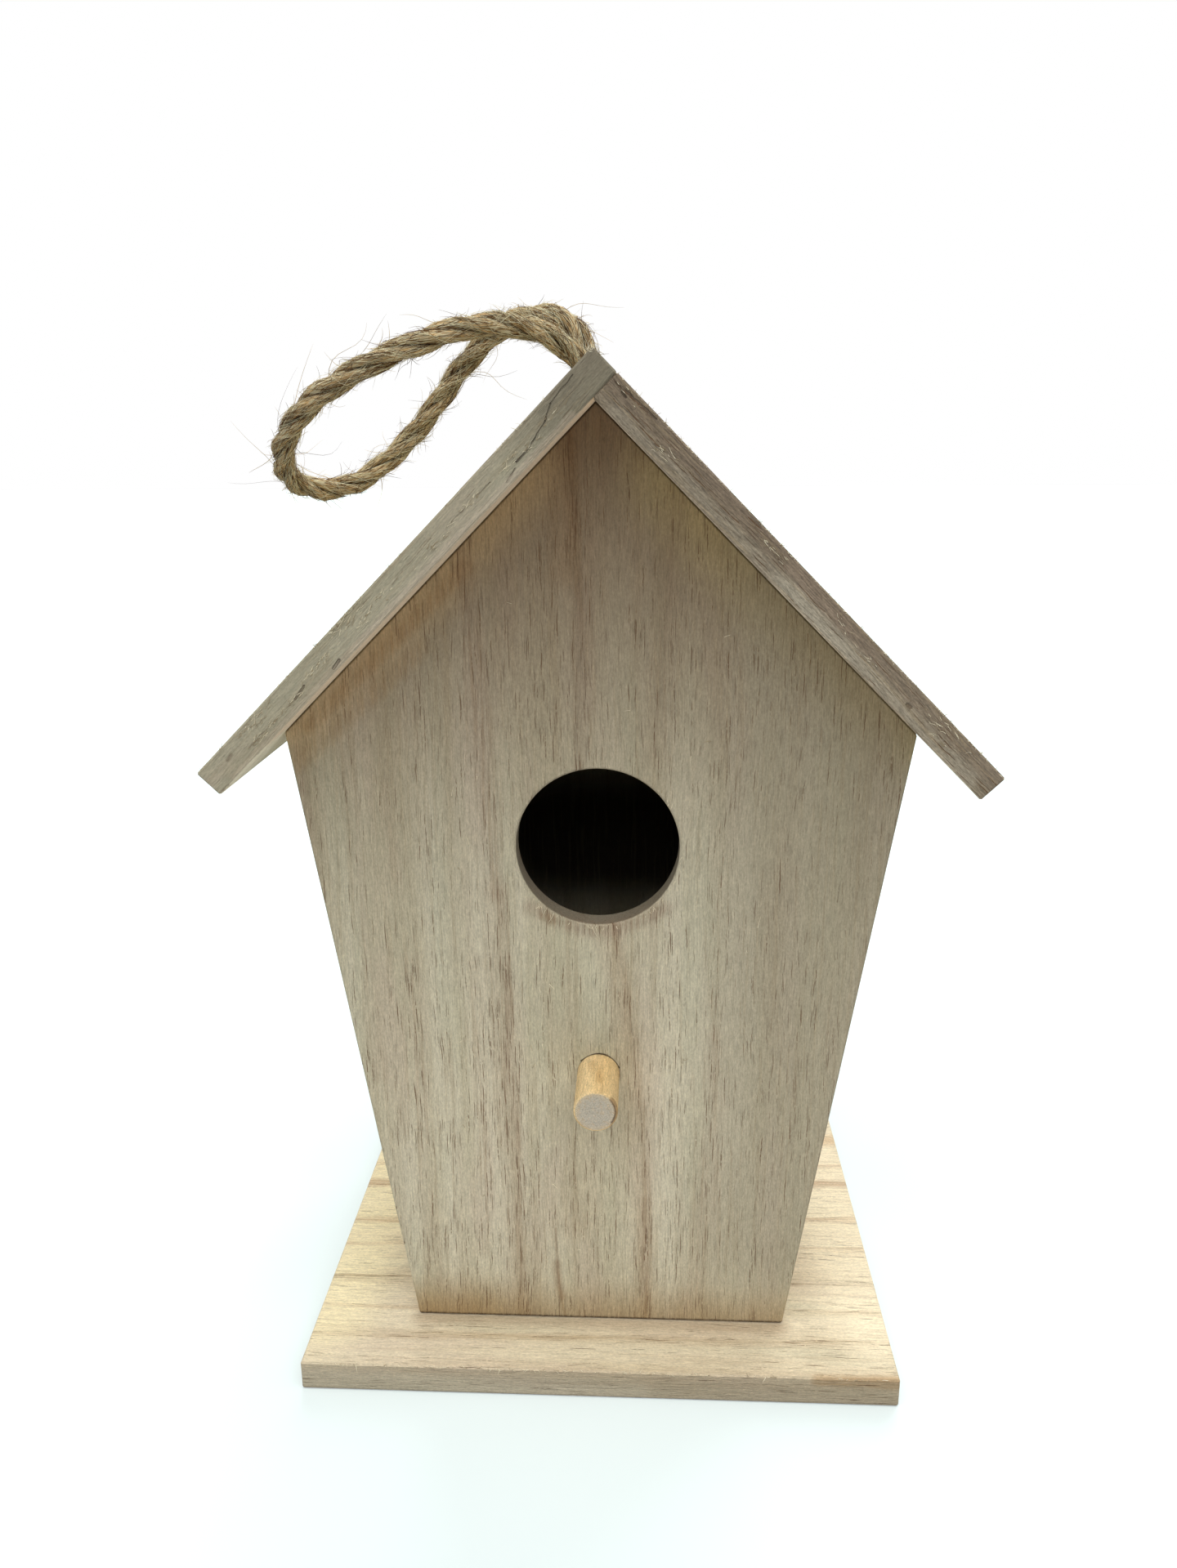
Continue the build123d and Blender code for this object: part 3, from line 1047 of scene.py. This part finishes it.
    def stray_fibres(self, line: Line, count: int, seed: int, longest: float) -> Array:
        """Loose fibres that leave the rope and curl away from it.

        Each starts just under the surface, heads partly along the rope and partly outwards,
        bends towards a direction of its own, and waves once to each side.

        Args:
            line: The rope's middle line.
            count: How many fibres.
            seed: For their places.
            longest: The longest fibre.

        Returns:
            The fibres' points.
        """
        chance = np.random.default_rng(seed)
        reach = chance.uniform(self.stray_ends, line.length - self.stray_ends, count)
        angle = chance.uniform(0, TURN, count)
        centre, tangent, _, _ = line.at(reach)
        root = line.around(reach, angle, np.full(count, self.stray_root))
        out = unit(root - centre)
        way = np.where(chance.uniform(size=(count, 1)) < 0.5, 1.0, -1.0)
        ahead = unit(tangent * way + out * chance.uniform(*self.stray_out, (count, 1)))
        bend = unit(chance.normal(size=(count, 3)) + out * 0.5)
        length = longest * chance.uniform(0.2, 1.0, (count, 1)) ** 1.6
        curl = chance.uniform(*self.stray_curl, (count, 1))
        wave = chance.uniform(-self.stray_wave, self.stray_wave, (count, 1))
        wave = np.cross(ahead * length, bend) * wave
        swing = np.sin(np.linspace(0.0, TURN, 9))[:, None]
        curve = bent(root, ahead * length, square_to(bend, ahead) * length * curl, 9)
        return curve + wave[:, None] * swing

    def knot_lines(self) -> list[Line]:
        """The overhand knot's turn, its two legs up to the board and its two tails.

        The turn is a trefoil: it goes twice round while its radius swings and its height
        rises and falls three times.

        Returns:
            The lines.
        """
        ring, swing, rise = self.knot_sweep
        t = np.arange(self.knot_steps) * TURN / self.knot_steps
        wide = ring + swing * np.cos(3 * t)
        turn = np.stack([wide * np.cos(2 * t), wide * np.sin(2 * t), rise * np.sin(3 * t)], -1)
        lines = [self.centre_line((turn + self.knot_middle).tolist(), cyclic=True)]
        for (x, y, z), lean in ((self.route[0], -1.0), (self.route[-1], 1.0)):
            leg = [(x + out * lean, y, z - fall) for out, fall in self.leg]
            tail = [(out * lean, 0.0, height) for out, height in self.tail]
            lines += [self.centre_line(leg), self.centre_line(tail)]
        return lines

    def frayed_ends(self, count: int, seed: int) -> Array:
        """Fibres that spread from the tails' cut ends.

        Args:
            count: How many fibres.
            seed: For their places.

        Returns:
            The fibres' points.
        """
        chance = np.random.default_rng(seed)
        out, foot = self.tail[-1]
        side = np.where(chance.uniform(size=count) < 0.5, -out, out)
        off = chance.normal(0.0, self.fray_spread, (count, 2))
        root = np.stack([side + off[:, 0], off[:, 1], np.full(count, foot + self.fray_start)], -1)
        fall = np.concatenate([off * 0.6, chance.uniform(*self.fray_fall, (count, 1))], -1)
        return bent(root, fall, chance.normal(0.0, self.fray_bend, (count, 3)), 8)

    def build(self) -> None:
        line = self.centre_line(self.route)
        fibre = JuteFinish().build()
        loop = self.strands("rope_loop", "hanging_rope", [line], 3, 22, fibre)
        knot = self.strands("rope_knot_strands", "rope_knot", self.knot_lines(), 5, 14, fibre)
        pale = HairFinish("jute_hair", (112, 80, 44), (255, 248, 212))
        grey = HairFinish("jute_stray", (104, 84, 58), (226, 202, 152))
        fuzz = FibreField("rope_fuzz", pale, ROPE_SLOT, 13, 0.00011).build(
            self.surface_fibres(line, 1350, 11, 0.5, 0.0005),
            self.surface_fibres(line, 480, 12, 1.7, 0.0012),
        )
        strays = FibreField("rope_strays", grey, ROPE_SLOT, 17, 0.00010).build(
            self.stray_fibres(line, 700, 18, 0.0042), self.stray_fibres(line, 60, 19, 0.0130)
        )
        fray = FibreField("rope_fray", pale, ROPE_SLOT, 23, 0.00016).build(
            self.frayed_ends(260, 24)
        )
        line.at(np.linspace(0.0, line.length, 140))[0].tolist()


# ---- boards


@dataclass(frozen=True)
class SteelFinish:
    """Drawn steel pins: dull, with fine rings round them and a few brown freckles."""

    name: str = "pin_steel"
    bright: Triple = (176, 174, 168)
    dull: Triple = (118, 114, 108)
    rust: Triple = (112, 78, 50)
    relief: float = 0.00002
    metal: float = 0.9

    def build(self) -> Material:
        """Makes the material, which reads object coordinates alone.

        Returns:
            The material.
        """
        graph = Graph(bpy.data.materials.new(self.name))
        place = graph.scale(graph.object_place(), 1.0 / MM)
        drawn = graph.noise(place, (0.12, 0.12, 2.5))
        freckle = graph.noise(place, (0.35, 0.35, 0.35), 4.0, 3.0, 0.65)
        colour = graph.blend(graph.ease(drawn, 0.36, 0.64), self.dull, self.bright)
        colour = graph.wash(colour, self.rust, freckle, 0.58, 0.68, 0.8)
        return graph.finish(colour, graph.ramp(freckle, 0.4, 0.2), drawn, self.relief, self.metal)


# Mark.rows takes the axis and the level of a shared coordinate. Each row is then the start's
# other two coordinates and the end's, all in millimetres, the radius, the shade, the
# strength, and as far as needed the core, swerve, patchy, crowd, depth and bow.

# painted light on the undersides of the overhangs, in place of light thrown up from the floor
UNDERSIDE_PAINTED_LIGHT = (
    Mark((-45.2, -3, -92), (-45.2, -3, -2), 6.6, (255, 236, 208), 1, 0.85, 0),
    Mark((-50, -160, -84), (50, -160, -84), 160.4, (255, 250, 224), 1, 0.9985, 0),
)

FRONT_MARKS = Mark.rows(
    1, 0,
    # painted shade that darkens and warms the gable towards its crown, where it also holds more
    # pores
    (-60, 200, 60, 200, 118, (123, 98, 71), 0.9, 0.1, 6),
    (-60, 170, 60, 170, 66, (144, 117, 94), 0, 0.4, 1, 0, 0.35),
    # amber beside both eaves, a real stain made paler as painted light that lifts the roof's
    # shadow, then amber lines along the eaves
    (-56, 131, -14, 173, 12, (222, 192, 144), 0.62, 0.1, 4),
    (56, 131, 15, 172, 15, (200, 182, 134), 0.66, 0.1, 4),
    (-51, 129, -22, 157, 2.2, (156, 116, 70), 0.4, 0.2, 1.5, 0.6),
    (-54, 122, -30, 143, 2.6, (164, 130, 86), 0.3, 0.2, 1.5, 0.6),
    # painted shade in the creases under both eaves, where the panel meets the roof
    (-55.6, 128, -0.3, 183.3, 0.55, (54, 40, 26), 0.66, 0.3, 0.6, 0.4),
    (55.6, 128, 0.3, 183.3, 0.5, (60, 46, 32), 0.5, 0.2, 0.6, 0.5),
    # streaks that follow the grain, crowded with pores
    (-16.3, 0, -18.5, 98, 5, (176, 154, 128), 0.26, 0, 3, 0, 0.4, 0, (0.6, 0, 0)),
    (-15.6, 0, -17.8, 98, 1.6, (138, 106, 78), 0.32, 0.1, 3, 0.7, 1.2, 0, (0.6, 0, 0)),
    (-18.5, 98, -22.5, 160, 3, (136, 108, 84), 0.36, 0.1, 3, 0.6, 0.5),
    (-17.2, 46, -17.6, 84, 3.4, (130, 98, 74), 0.25, 0, 3, 0.8, 1.7),
    (-23.5, 22, -22.5, 84, 3.2, (170, 142, 114), 0.25, 0, 3, 0.6, 0.8, 0, (0.6, 0, 0)),
    (8.6, 0, 2, 92, 4.4, (178, 154, 120), 0.3, 0, 2, 0, 0.2, 0, (2.4, 0, 0)),
    (9.6, 0, 3, 92, 1.4, (134, 102, 70), 0.34, 0.1, 2, 0.6, 1.2, 0, (2.4, 0, 0)),
    (9.2, 6, 8.4, 34, 1.6, (130, 98, 68), 0.3, 0.1, 2, 0.6, 0.9),
    (-3, 121, -4.4, 182, 1.8, (112, 84, 56), 0.5, 0.1, 1.5, 0.5, 0.9, 0, (0.5, 0, 0)),
    (-5.4, 156, -6, 184, 4.4, (144, 112, 74), 0.25, 0, 1.5, 0, 0.3, 0, (0.5, 0, 0)),
    (-6.4, 4, -8.6, 27, 0.5, (116, 88, 60), 0.55, 0, 1.5, 0.3, 0.2, 0, (-0.7, 0, 0)),
    (-7.6, 11, -8.6, 19, 1.5, (142, 114, 86), 0.5, 0, 1.5, 0, 0, 0, (-0.3, 0, 0)),
    (-33, 14, -35, 84, 3, (172, 144, 122), 0.22, 0, 3, 0.7, 0.7),
    (19, 10, 22, 70, 3.2, (182, 156, 136), 0.26, 0, 3, 0.6, 0.4),
    (-42, 60, -45, 128, 2.2, (158, 134, 110), 0.26, 0, 3, 0.6, 0.3),
    (10, 124, 13, 168, 3.6, (132, 106, 84), 0.24, 0, 4, 0.5, 0.3),
    (47, 96, 49, 128, 5, (140, 122, 98), 0.3, 0.1, 4, 0.4, 0.1),
    (36, 30, 40, 150, 26, (162, 152, 128), 0.6, 0.3, 6),
    # the foot's tan edge, and more pores in the lower half
    (-45, 2, 45, 2, 15, (168, 140, 98), 0.62, 0.25, 5),
    (-44, 0, -26, 4, 15, (160, 126, 74), 0.5, 0.1, 5),
    (-28, 36, 12, 36, 64, (198, 190, 162), 0, 0.4, 1, 0, 0.4),
    (-4, 30, 4, 56, 8, (188, 172, 142), 0.3, 0.2, 3, 0, 0.35),
    # painted shadow in the gap at the panel's foot
    (-40, 5.8, 40, 5.8, 1, (58, 42, 28), 0.92, 0.5, 1.4, 0.35),
    # the shaded gap over the perch
    (-3.2, 64.2, 3.9, 62.9, 0.36, (60, 42, 26), 0.9, 0.3, 0.3, 0, 0, 0, (0.3, 0, 2.1)),
    # painted shade on the entrance's wall, and its scorched lower rim
    Mark((0, 2.6, 106.8), (0, 6, 106.8), 15.1, (112, 100, 84), 0.75, 0.985, 0),
    (-9.5, 93.6, -8.4, 92.9, 1.6, (140, 118, 78), 0.6, 0.1, 3, 0.4),
    (-12, 95.4, 12, 95.4, 2.6, (138, 104, 86), 0.42, 0.1, 3, 0.5, 0.4, 0, (0, 0, -4.5)),
)

LEFT_ROOF_MARKS = Mark.rows(
    0, -50.8,
    # gouges in the front edge, then the crack that climbs to the ridge
    (0.75, -59.9, 1.05, -58.2, 0.27, (44, 33, 25), 0.95, 0.5, 0, 0, 0, 2),
    (1.9, -68.4, 2.3, -65.6, 0.22, (56, 43, 32), 0.9, 0.4, 0.3, 0, 0, 1.5),
    (3.2, -84.6, 3.4, -83.4, 0.5, (120, 106, 88), 0.6, 0.2, 0.5),
    (4.8, 0.4, 4.2, -5, 0.14, (92, 76, 60), 0.8, 0.1, 2, 0, 0, 1),
    (4.2, -5, 3, -7.4, 0.15, (84, 68, 54), 0.8, 0.1, 2, 0, 0, 1),
    (3, -7.4, 2.3, -10.3, 0.13, (90, 74, 58), 0.8, 0.1, 2, 0, 0, 1),
    (2.3, -10.3, 1.9, -12, 0.15, (84, 68, 54), 0.8, 0.1, 2, 0, 0, 1.5),
    (1.9, -12, 1.9, -14.9, 0.24, (62, 50, 40), 0.9, 0.1, 1.6, 0, 0, 2),
    (1.3, -15.8, 0.7, -18.2, 0.2, (112, 96, 78), 0.7, 0.1, 2, 0, 0, 0.6),
    (2.6, -20.1, 2.8, -28.8, 0.16, (116, 100, 82), 0.7, 0.1, 2, 0, 0, 0.6),
    (3.6, -33, 3.2, -47, 0.16, (120, 104, 86), 0.7, 0.1, 2, 0.6),
    (2.6, 6, 2.6, -1, 18, (130, 121, 103), 0.75, 0.1),
    # painted highlight along the front edge's lower arris, where light from below would fall
    (0.5, -86, 0.5, -4, 1.1, (214, 198, 176), 0.5),
    (1.5, -86, 1.5, -60, 2, (176, 166, 140), 0.5, 0.2, 2),
    *UNDERSIDE_PAINTED_LIGHT,
)

RIGHT_ROOF_MARKS = Mark.rows(
    0, -50.8,
    # the front edge's porous upper half, a torn chip at the ridge and a small knot
    (4.5, -95, 4.4, 0, 2.6, (140, 120, 102), 0.5, 0.3, 2, 0, 0.8),
    # painted highlight: a pale strip and line along the front edge's lower arris, where light from
    # below would fall
    (1, -86, 1, -4, 2.2, (192, 184, 164), 0.55, 0.4, 2),
    (0.2, -86, 0.2, -4, 0.7, (214, 198, 172), 0.5),
    (3, -92, 3, -66, 14, (150, 138, 118), 0.4, 0.1, 2),
    (2.6, -36, 2.6, 0, 6, (132, 118, 99), 0.55, 0.3, 2, 0, 0.3),
    (4, -3.4, 4.6, 0, 0.3, (84, 68, 52), 0.8, 0.2, 2.5, 0, 0, 1.5),
    (4.9, -9, 4.6, -2, 0.25, (96, 80, 62), 0.7, 0.2, 2.5, 0, 0, 1),
    (2.4, -70.3, 2.4, -69.7, 0.5, (80, 64, 48), 0.7, 0.3, 1, 0, 0, 1),
    *UNDERSIDE_PAINTED_LIGHT,
)

BASE_MARKS = Mark.rows(
    1, 0,
    # paler ends, brown bands that cross the top, dashes, the front's amber corner and its nick
    (-40, -56, 60, -47, 15, (250, 236, 192), 0.74, 0.2, 3),
    (-40, 56, 60, 47, 15, (250, 236, 204), 0.82, 0.2, 3),
    (4.5, -60, 8.5, 60, 2.2, (172, 132, 96), 0.62, 0.2, 4, 0.4),
    (13, -60, 15.5, 60, 1.4, (188, 152, 114), 0.45, 0.1, 4, 0.5),
    (-9.5, -60, -5.5, 60, 1.7, (190, 152, 110), 0.5, 0.2, 4, 0.5, 0.4),
    (-18, -60, -16, 60, 1.1, (198, 166, 126), 0.4, 0.1, 4, 0.6, 0.3),
    (-29, -60, -27, 60, 1.7, (146, 118, 82), 0.5, 0.1, 3, 0.7, 1.6),
    (24, -60, 27, 60, 4, (208, 168, 120), 0.5, 0.2, 4),
    (-38, -60, -36, 60, 1.6, (206, 182, 144), 0.4, 0.1, 4, 0.6, 0.3),
    (-46, -60, -44, 60, 1.2, (182, 158, 122), 0.4, 0.2, 4, 0.6, 0.7),
    Mark((-56.5, -4.5, -60), (-56.5, -4.5, 8), 4.3, (214, 206, 180), 0.5, 0.5, 0.6),
    Mark((-56.5, -4.5, 12), (-56.5, -4.5, 60), 4.3, (192, 181, 154), 0.5, 0.5, 0.6),
    # painted shadow on the base's top in front of the panel's foot
    (-40.6, -36, -40.6, 36, 3.6, (166, 142, 112), 0.5, 0.1),
    Mark((-54, -0.6, 42), (-54, -0.6, 60), 1.9, (176, 138, 90), 0.6, 0.2, 3, 0.3),
    # painted shadow along the base's front bottom edge
    Mark((-54, -6, -60), (-54, -6, 60), 0.8, (128, 114, 94), 0.6, 0.1, 0.6),
    Mark((-54, -5.9, 7.5), (-54, -5.9, 8.3), 0.35, (70, 56, 42), 0.9, 0.4, 0.5, 0, 0, 1.5),
)

PERCH_MARKS = (
    # the sawn end's grey face, a chip at its right with painted shade along its sunken step, a
    # shaded root and scorched flecks
    Mark((0, 0, -40.2), (0, 0, -40), 26.7, (184, 178, 163), 0.92, 0.985, 0),
    Mark((3.4, 2.4, -14), (3.5, -2.6, -14), 1.2, (150, 118, 80), 0.75, 0.6, 0.4, bow=(0.9, 0, 0)),
    Mark(
        (2.7, 2.6, -14), (2.9, -2, -14), 0.35, (84, 62, 42), 0.9, 0.3, 0.4,
        depth=1.5, bow=(0.8, 0, 0),
    ),
    Mark((0, 0, 26.2), (0, 0, 26.3), 26.8, (92, 66, 40), 0.9, 0.98, 0),
    Mark((-1, 4, -3), (0.6, 4, -9.5), 1.6, (172, 128, 70), 0.4, 0.1, 3, 0.6),
)

INSIDE_PAINTED_SHADE = Mark.rows(
    1, -24.5,
    # painted shade on the inner face, darkening what shows through the entrance
    (-12, 84, 12, 84, 101, (34, 28, 20), 0.96, 0.98, 0),
)


@dataclass
class Splinters:
    """Loose wood fibres on cut edges and sanded faces, all in one piece."""

    entrance_radius: float = 0.0148
    entrance_rise: float = 0.1068
    roof_thickness: float = 0.0053
    roof_length: float = 0.0905  # of a board's front edge
    skin: float = 0.00003  # how far a root stands off its surface
    tufts: int = 16  # of torn fibres on a board's front edge
    bend: float = 0.28  # of a fibre, in parts of its length
    seed: int = 41

    def __post_init__(self) -> None:
        """Starts the random numbers and reads where the boards' faces are."""
        self.chance = np.random.default_rng(self.seed)
        low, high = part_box("front_panel")
        self.front, self.gable = low.y, high.z
        low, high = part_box("left_roof_board")
        self.roof_front, self.top = low.y, high.z

    def curls(self, root: Array, way: Array, length: Array) -> Array:
        """Fibres that run from their roots along their ways, each with a random bend.

        Args:
            root: Where they start.
            way: Which way they head, of any length.
            length: How long each is.

        Returns:
            The fibres' points.
        """
        size = length[:, None]
        bend = self.chance.normal(0.0, self.bend, way.shape) * size
        return bent(root, unit(way) * size, bend, 7)

    def rim(self) -> Array:
        """Torn fibres round the entrance, most of them below and at the right.

        Returns:
            The fibres' points.
        """
        chance = self.chance
        low, right = chance.uniform(-2.75, -0.35, 26), chance.uniform(-0.35, 0.75, 8)
        tufts = [chance.normal(place, 0.07, 10) for place in (-2.25, -1.6, -0.85)]
        turn = np.concatenate([low, right, *tufts])
        count = len(turn)
        spoke = np.stack([np.cos(turn), np.zeros(count), np.sin(turn)], -1)
        reach = self.entrance_radius + chance.uniform(0.0001, 0.0008, count)
        root = spoke * reach[:, None] + (0.0, self.front - self.skin, self.entrance_rise)
        way = spoke * chance.normal(0.2, 0.2, (count, 1)) + chance.normal(0.0, 0.25, (count, 3))
        way[:, 1] = -np.abs(way[:, 1]) * 0.4
        way[:, 2] += np.sign(spoke[:, 2]) * 0.9
        length = chance.uniform(0.0003, 0.0011, count)
        length[len(low) + len(right):] *= 1.5
        return self.curls(root, way, length)

    def roof_edge(self, side: float, flat: int, fringe: int) -> Array:
        """Fibres torn up along a roof board's sawn front edge, and a fringe on its top corner.

        Args:
            side: -1 for the left board, 1 for the right.
            flat: How many stand in tufts on the edge.
            fringe: How many stand on its top corner.

        Returns:
            The fibres' points.
        """
        chance = self.chance
        down, over = np.array([[side, 0.0, -1.0], [side, 0.0, 1.0]]) * np.sqrt(0.5)
        tuft = chance.integers(0, self.tufts, flat)
        share = chance.uniform(0.04, 0.96, self.tufts)[tuft] + chance.normal(0.0, 0.022, flat)
        rise = chance.uniform(0.3, 0.9, self.tufts)[tuft] + chance.normal(0.0, 0.06, flat)
        share = np.concatenate([np.clip(share, 0.01, 0.99), chance.uniform(0.0, 1.0, fringe)])
        rise = np.concatenate([np.clip(rise, 0.05, 0.98), np.full(fringe, 0.99)])
        root = self.roof_length * down * share[:, None] + self.roof_thickness * over * rise[:, None]
        root = root + (0.0, self.roof_front - self.skin, self.gable)
        way = chance.normal(0.12, 0.14, (flat + fringe, 1)) * over - down
        lift, along = chance.uniform(0.2, 1.0, (fringe, 1)), chance.normal(0, 0.8, (fringe, 1))
        way[flat:] = over * lift + down * along
        way[:, 1] = -np.abs(chance.normal(0.0, 0.06, flat + fringe))
        long, short = chance.uniform(0.0004, 0.0015, flat), chance.uniform(0.0003, 0.0009, fringe)
        return self.curls(root, way, np.concatenate([long, short]))

    def ridge(self, count: int) -> Array:
        """A tuft of torn fibres on the ridge's front corner.

        Args:
            count: How many fibres.

        Returns:
            The fibres' points.
        """
        low, high = (-0.001, -0.0001, -0.001), (0.0012, 0.0012, -0.0002)
        root = self.chance.uniform(low, high, (count, 3)) + (0.0, self.roof_front, self.top)
        way = self.chance.normal(0.0, 0.8, (count, 3)) + (0.3, -0.2, 0.9)
        return self.curls(root, way, self.chance.uniform(0.0005, 0.0016, count))

    def base_edge(self, count: int) -> Array:
        """A pale fringe along the base's top front corner.

        Args:
            count: How many fibres.

        Returns:
            The fibres' points.
        """
        low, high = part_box("base_board")
        place = self.chance.uniform(low.x + 0.001, high.x - 0.001, count)
        root = np.stack([place, np.full(count, low.y), np.full(count, high.z - 0.0001)], -1)
        way = self.chance.normal(0.0, (1.0, 0.3, 0.3), (count, 3)) + (0.0, -0.25, 0.15)
        return self.curls(root, way, self.chance.uniform(0.0004, 0.0012, count))

    def face(self, count: int) -> Array:
        """A few curly fibres left on the sanded front panel, clear of the entrance.

        Args:
            count: How many fibres.

        Returns:
            The fibres' points.
        """
        chance = self.chance
        x, z = chance.uniform(-0.03, 0.03, count), chance.uniform(0.012, 0.152, count)
        root = np.stack([x, np.full(count, self.front), z], -1)
        way = chance.normal(0.0, (0.5, 0.05, 1.0), (count, 3)) + (0.0, -0.12, 0.0)
        length = chance.uniform(0.0006, 0.0022, count)
        clear = np.hypot(x, z - self.entrance_rise) > self.entrance_radius + 0.003
        return self.curls(root[clear], way[clear], length[clear])

    def build(self) -> None:
        """Makes the piece."""
        wood = HairFinish("torn_wood", (176, 160, 130), (252, 243, 214))
        FibreField("wood_splinters", wood, "panel_wood", 43, 0.00011).build(
            self.rim(),
            self.roof_edge(-1.0, 240, 60),
            self.roof_edge(1.0, 100, 150),
            self.ridge(34),
            self.base_edge(120),
            self.face(46),
        )


@dataclass
class House:
    """The boards, the perch and the pins: CAD nodes that take a finish each."""

    lean: float = 0.1508  # of the walls, in radians
    slope: float = 0.7071  # sine and cosine of the roof's pitch

    def dress(self, node: str, material: Material) -> None:
        """Puts one material on a CAD node.

        Args:
            node: The node's name.
            material: Its finish.
        """
        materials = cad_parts[node].data.materials
        materials.clear()
        materials.append(material)
        log.info("%s: %s", node, material.name)

    def woods(self) -> dict[str, WoodFinish]:
        """The wood of every board and of the perch.

        Returns:
            The finish of each CAD node.
        """
        low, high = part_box("front_panel")
        front, foot, gable = low.y, (0.0, 0.0, low.z), (0.0, 0.0, high.z)
        low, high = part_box("perch_dowel")
        s, sin, cos = self.slope, np.sin(self.lean), np.cos(self.lean)
        panel = Grain((0.0, front, 0.0), X_AXIS, Y_AXIS, Z_AXIS)
        walls = [Grain(foot, Y_AXIS, (cos * i, 0, -sin), (sin * i, 0, cos)) for i in (-1, 1)]
        roofs = [Grain(gable, Y_AXIS, (s * i, 0, s), (-s * i, 0, s)) for i in (-1, 1)]
        base = Grain(foot, Y_AXIS, Z_AXIS, X_AXIS)
        dowel = Grain((0.0, front, (low.z + high.z) / 2), X_AXIS, Z_AXIS, Y_AXIS)
        return {
            "front_panel": WoodFinish("front_wood", panel, marks=FRONT_MARKS),
            "back_panel": WoodFinish(
                "back_wood", panel, fibres=0.2, grit=0.2, pores=0.3, shift=11.0, marks=INSIDE_PAINTED_SHADE
            ),
            "left_wall": WoodFinish("left_wall_wood", walls[0], shift=20.0),
            "right_wall": WoodFinish("right_wall_wood", walls[1], shift=22.0),
            "left_roof_board": WoodFinish(
                "left_roof_board", roofs[0], (180, 174, 149), (196, 189, 164), lines=0.18,
                pores=0.4, relief=0.00028, shift=31.0, marks=LEFT_ROOF_MARKS,
            ),
            "right_roof_board": WoodFinish(
                "right_roof_board", roofs[1], (147, 135, 114), (166, 155, 134), lines=0.18,
                fibres=0.95, grit=0.7, relief=0.00028, shift=33.0, marks=RIGHT_ROOF_MARKS,
            ),
            "base_board": WoodFinish(
                "base_wood", base, (216, 201, 170), (226, 213, 184), (170, 144, 112),
                fibres=0.4, shift=41.0, marks=BASE_MARKS,
            ),
            "perch_dowel": WoodFinish(
                "dowel_wood", dowel, (230, 196, 136), (240, 212, 160), (204, 164, 106),
                tint=0.1, grit=0.6, pores=0.3, shift=51.0, marks=PERCH_MARKS,
            ),
        }

    def build(self) -> None:
        """Dresses every board, the perch and the pins."""
        for node, finish in self.woods().items():
            self.dress(node, finish.build())
        steel = SteelFinish().build()
        for node in ("base_pins", "left_roof_pins", "right_roof_pins", "ridge_pins"):
            self.dress(node, steel)


def main() -> None:
    """Builds the studio, the rope and the dressed boards in order."""
    logging.basicConfig(level=logging.INFO, format="%(message)s")
    Studio().build()
    RopeLoop().build()
    House().build()
    Splinters().build()


if __name__ == "__main__":
    main()
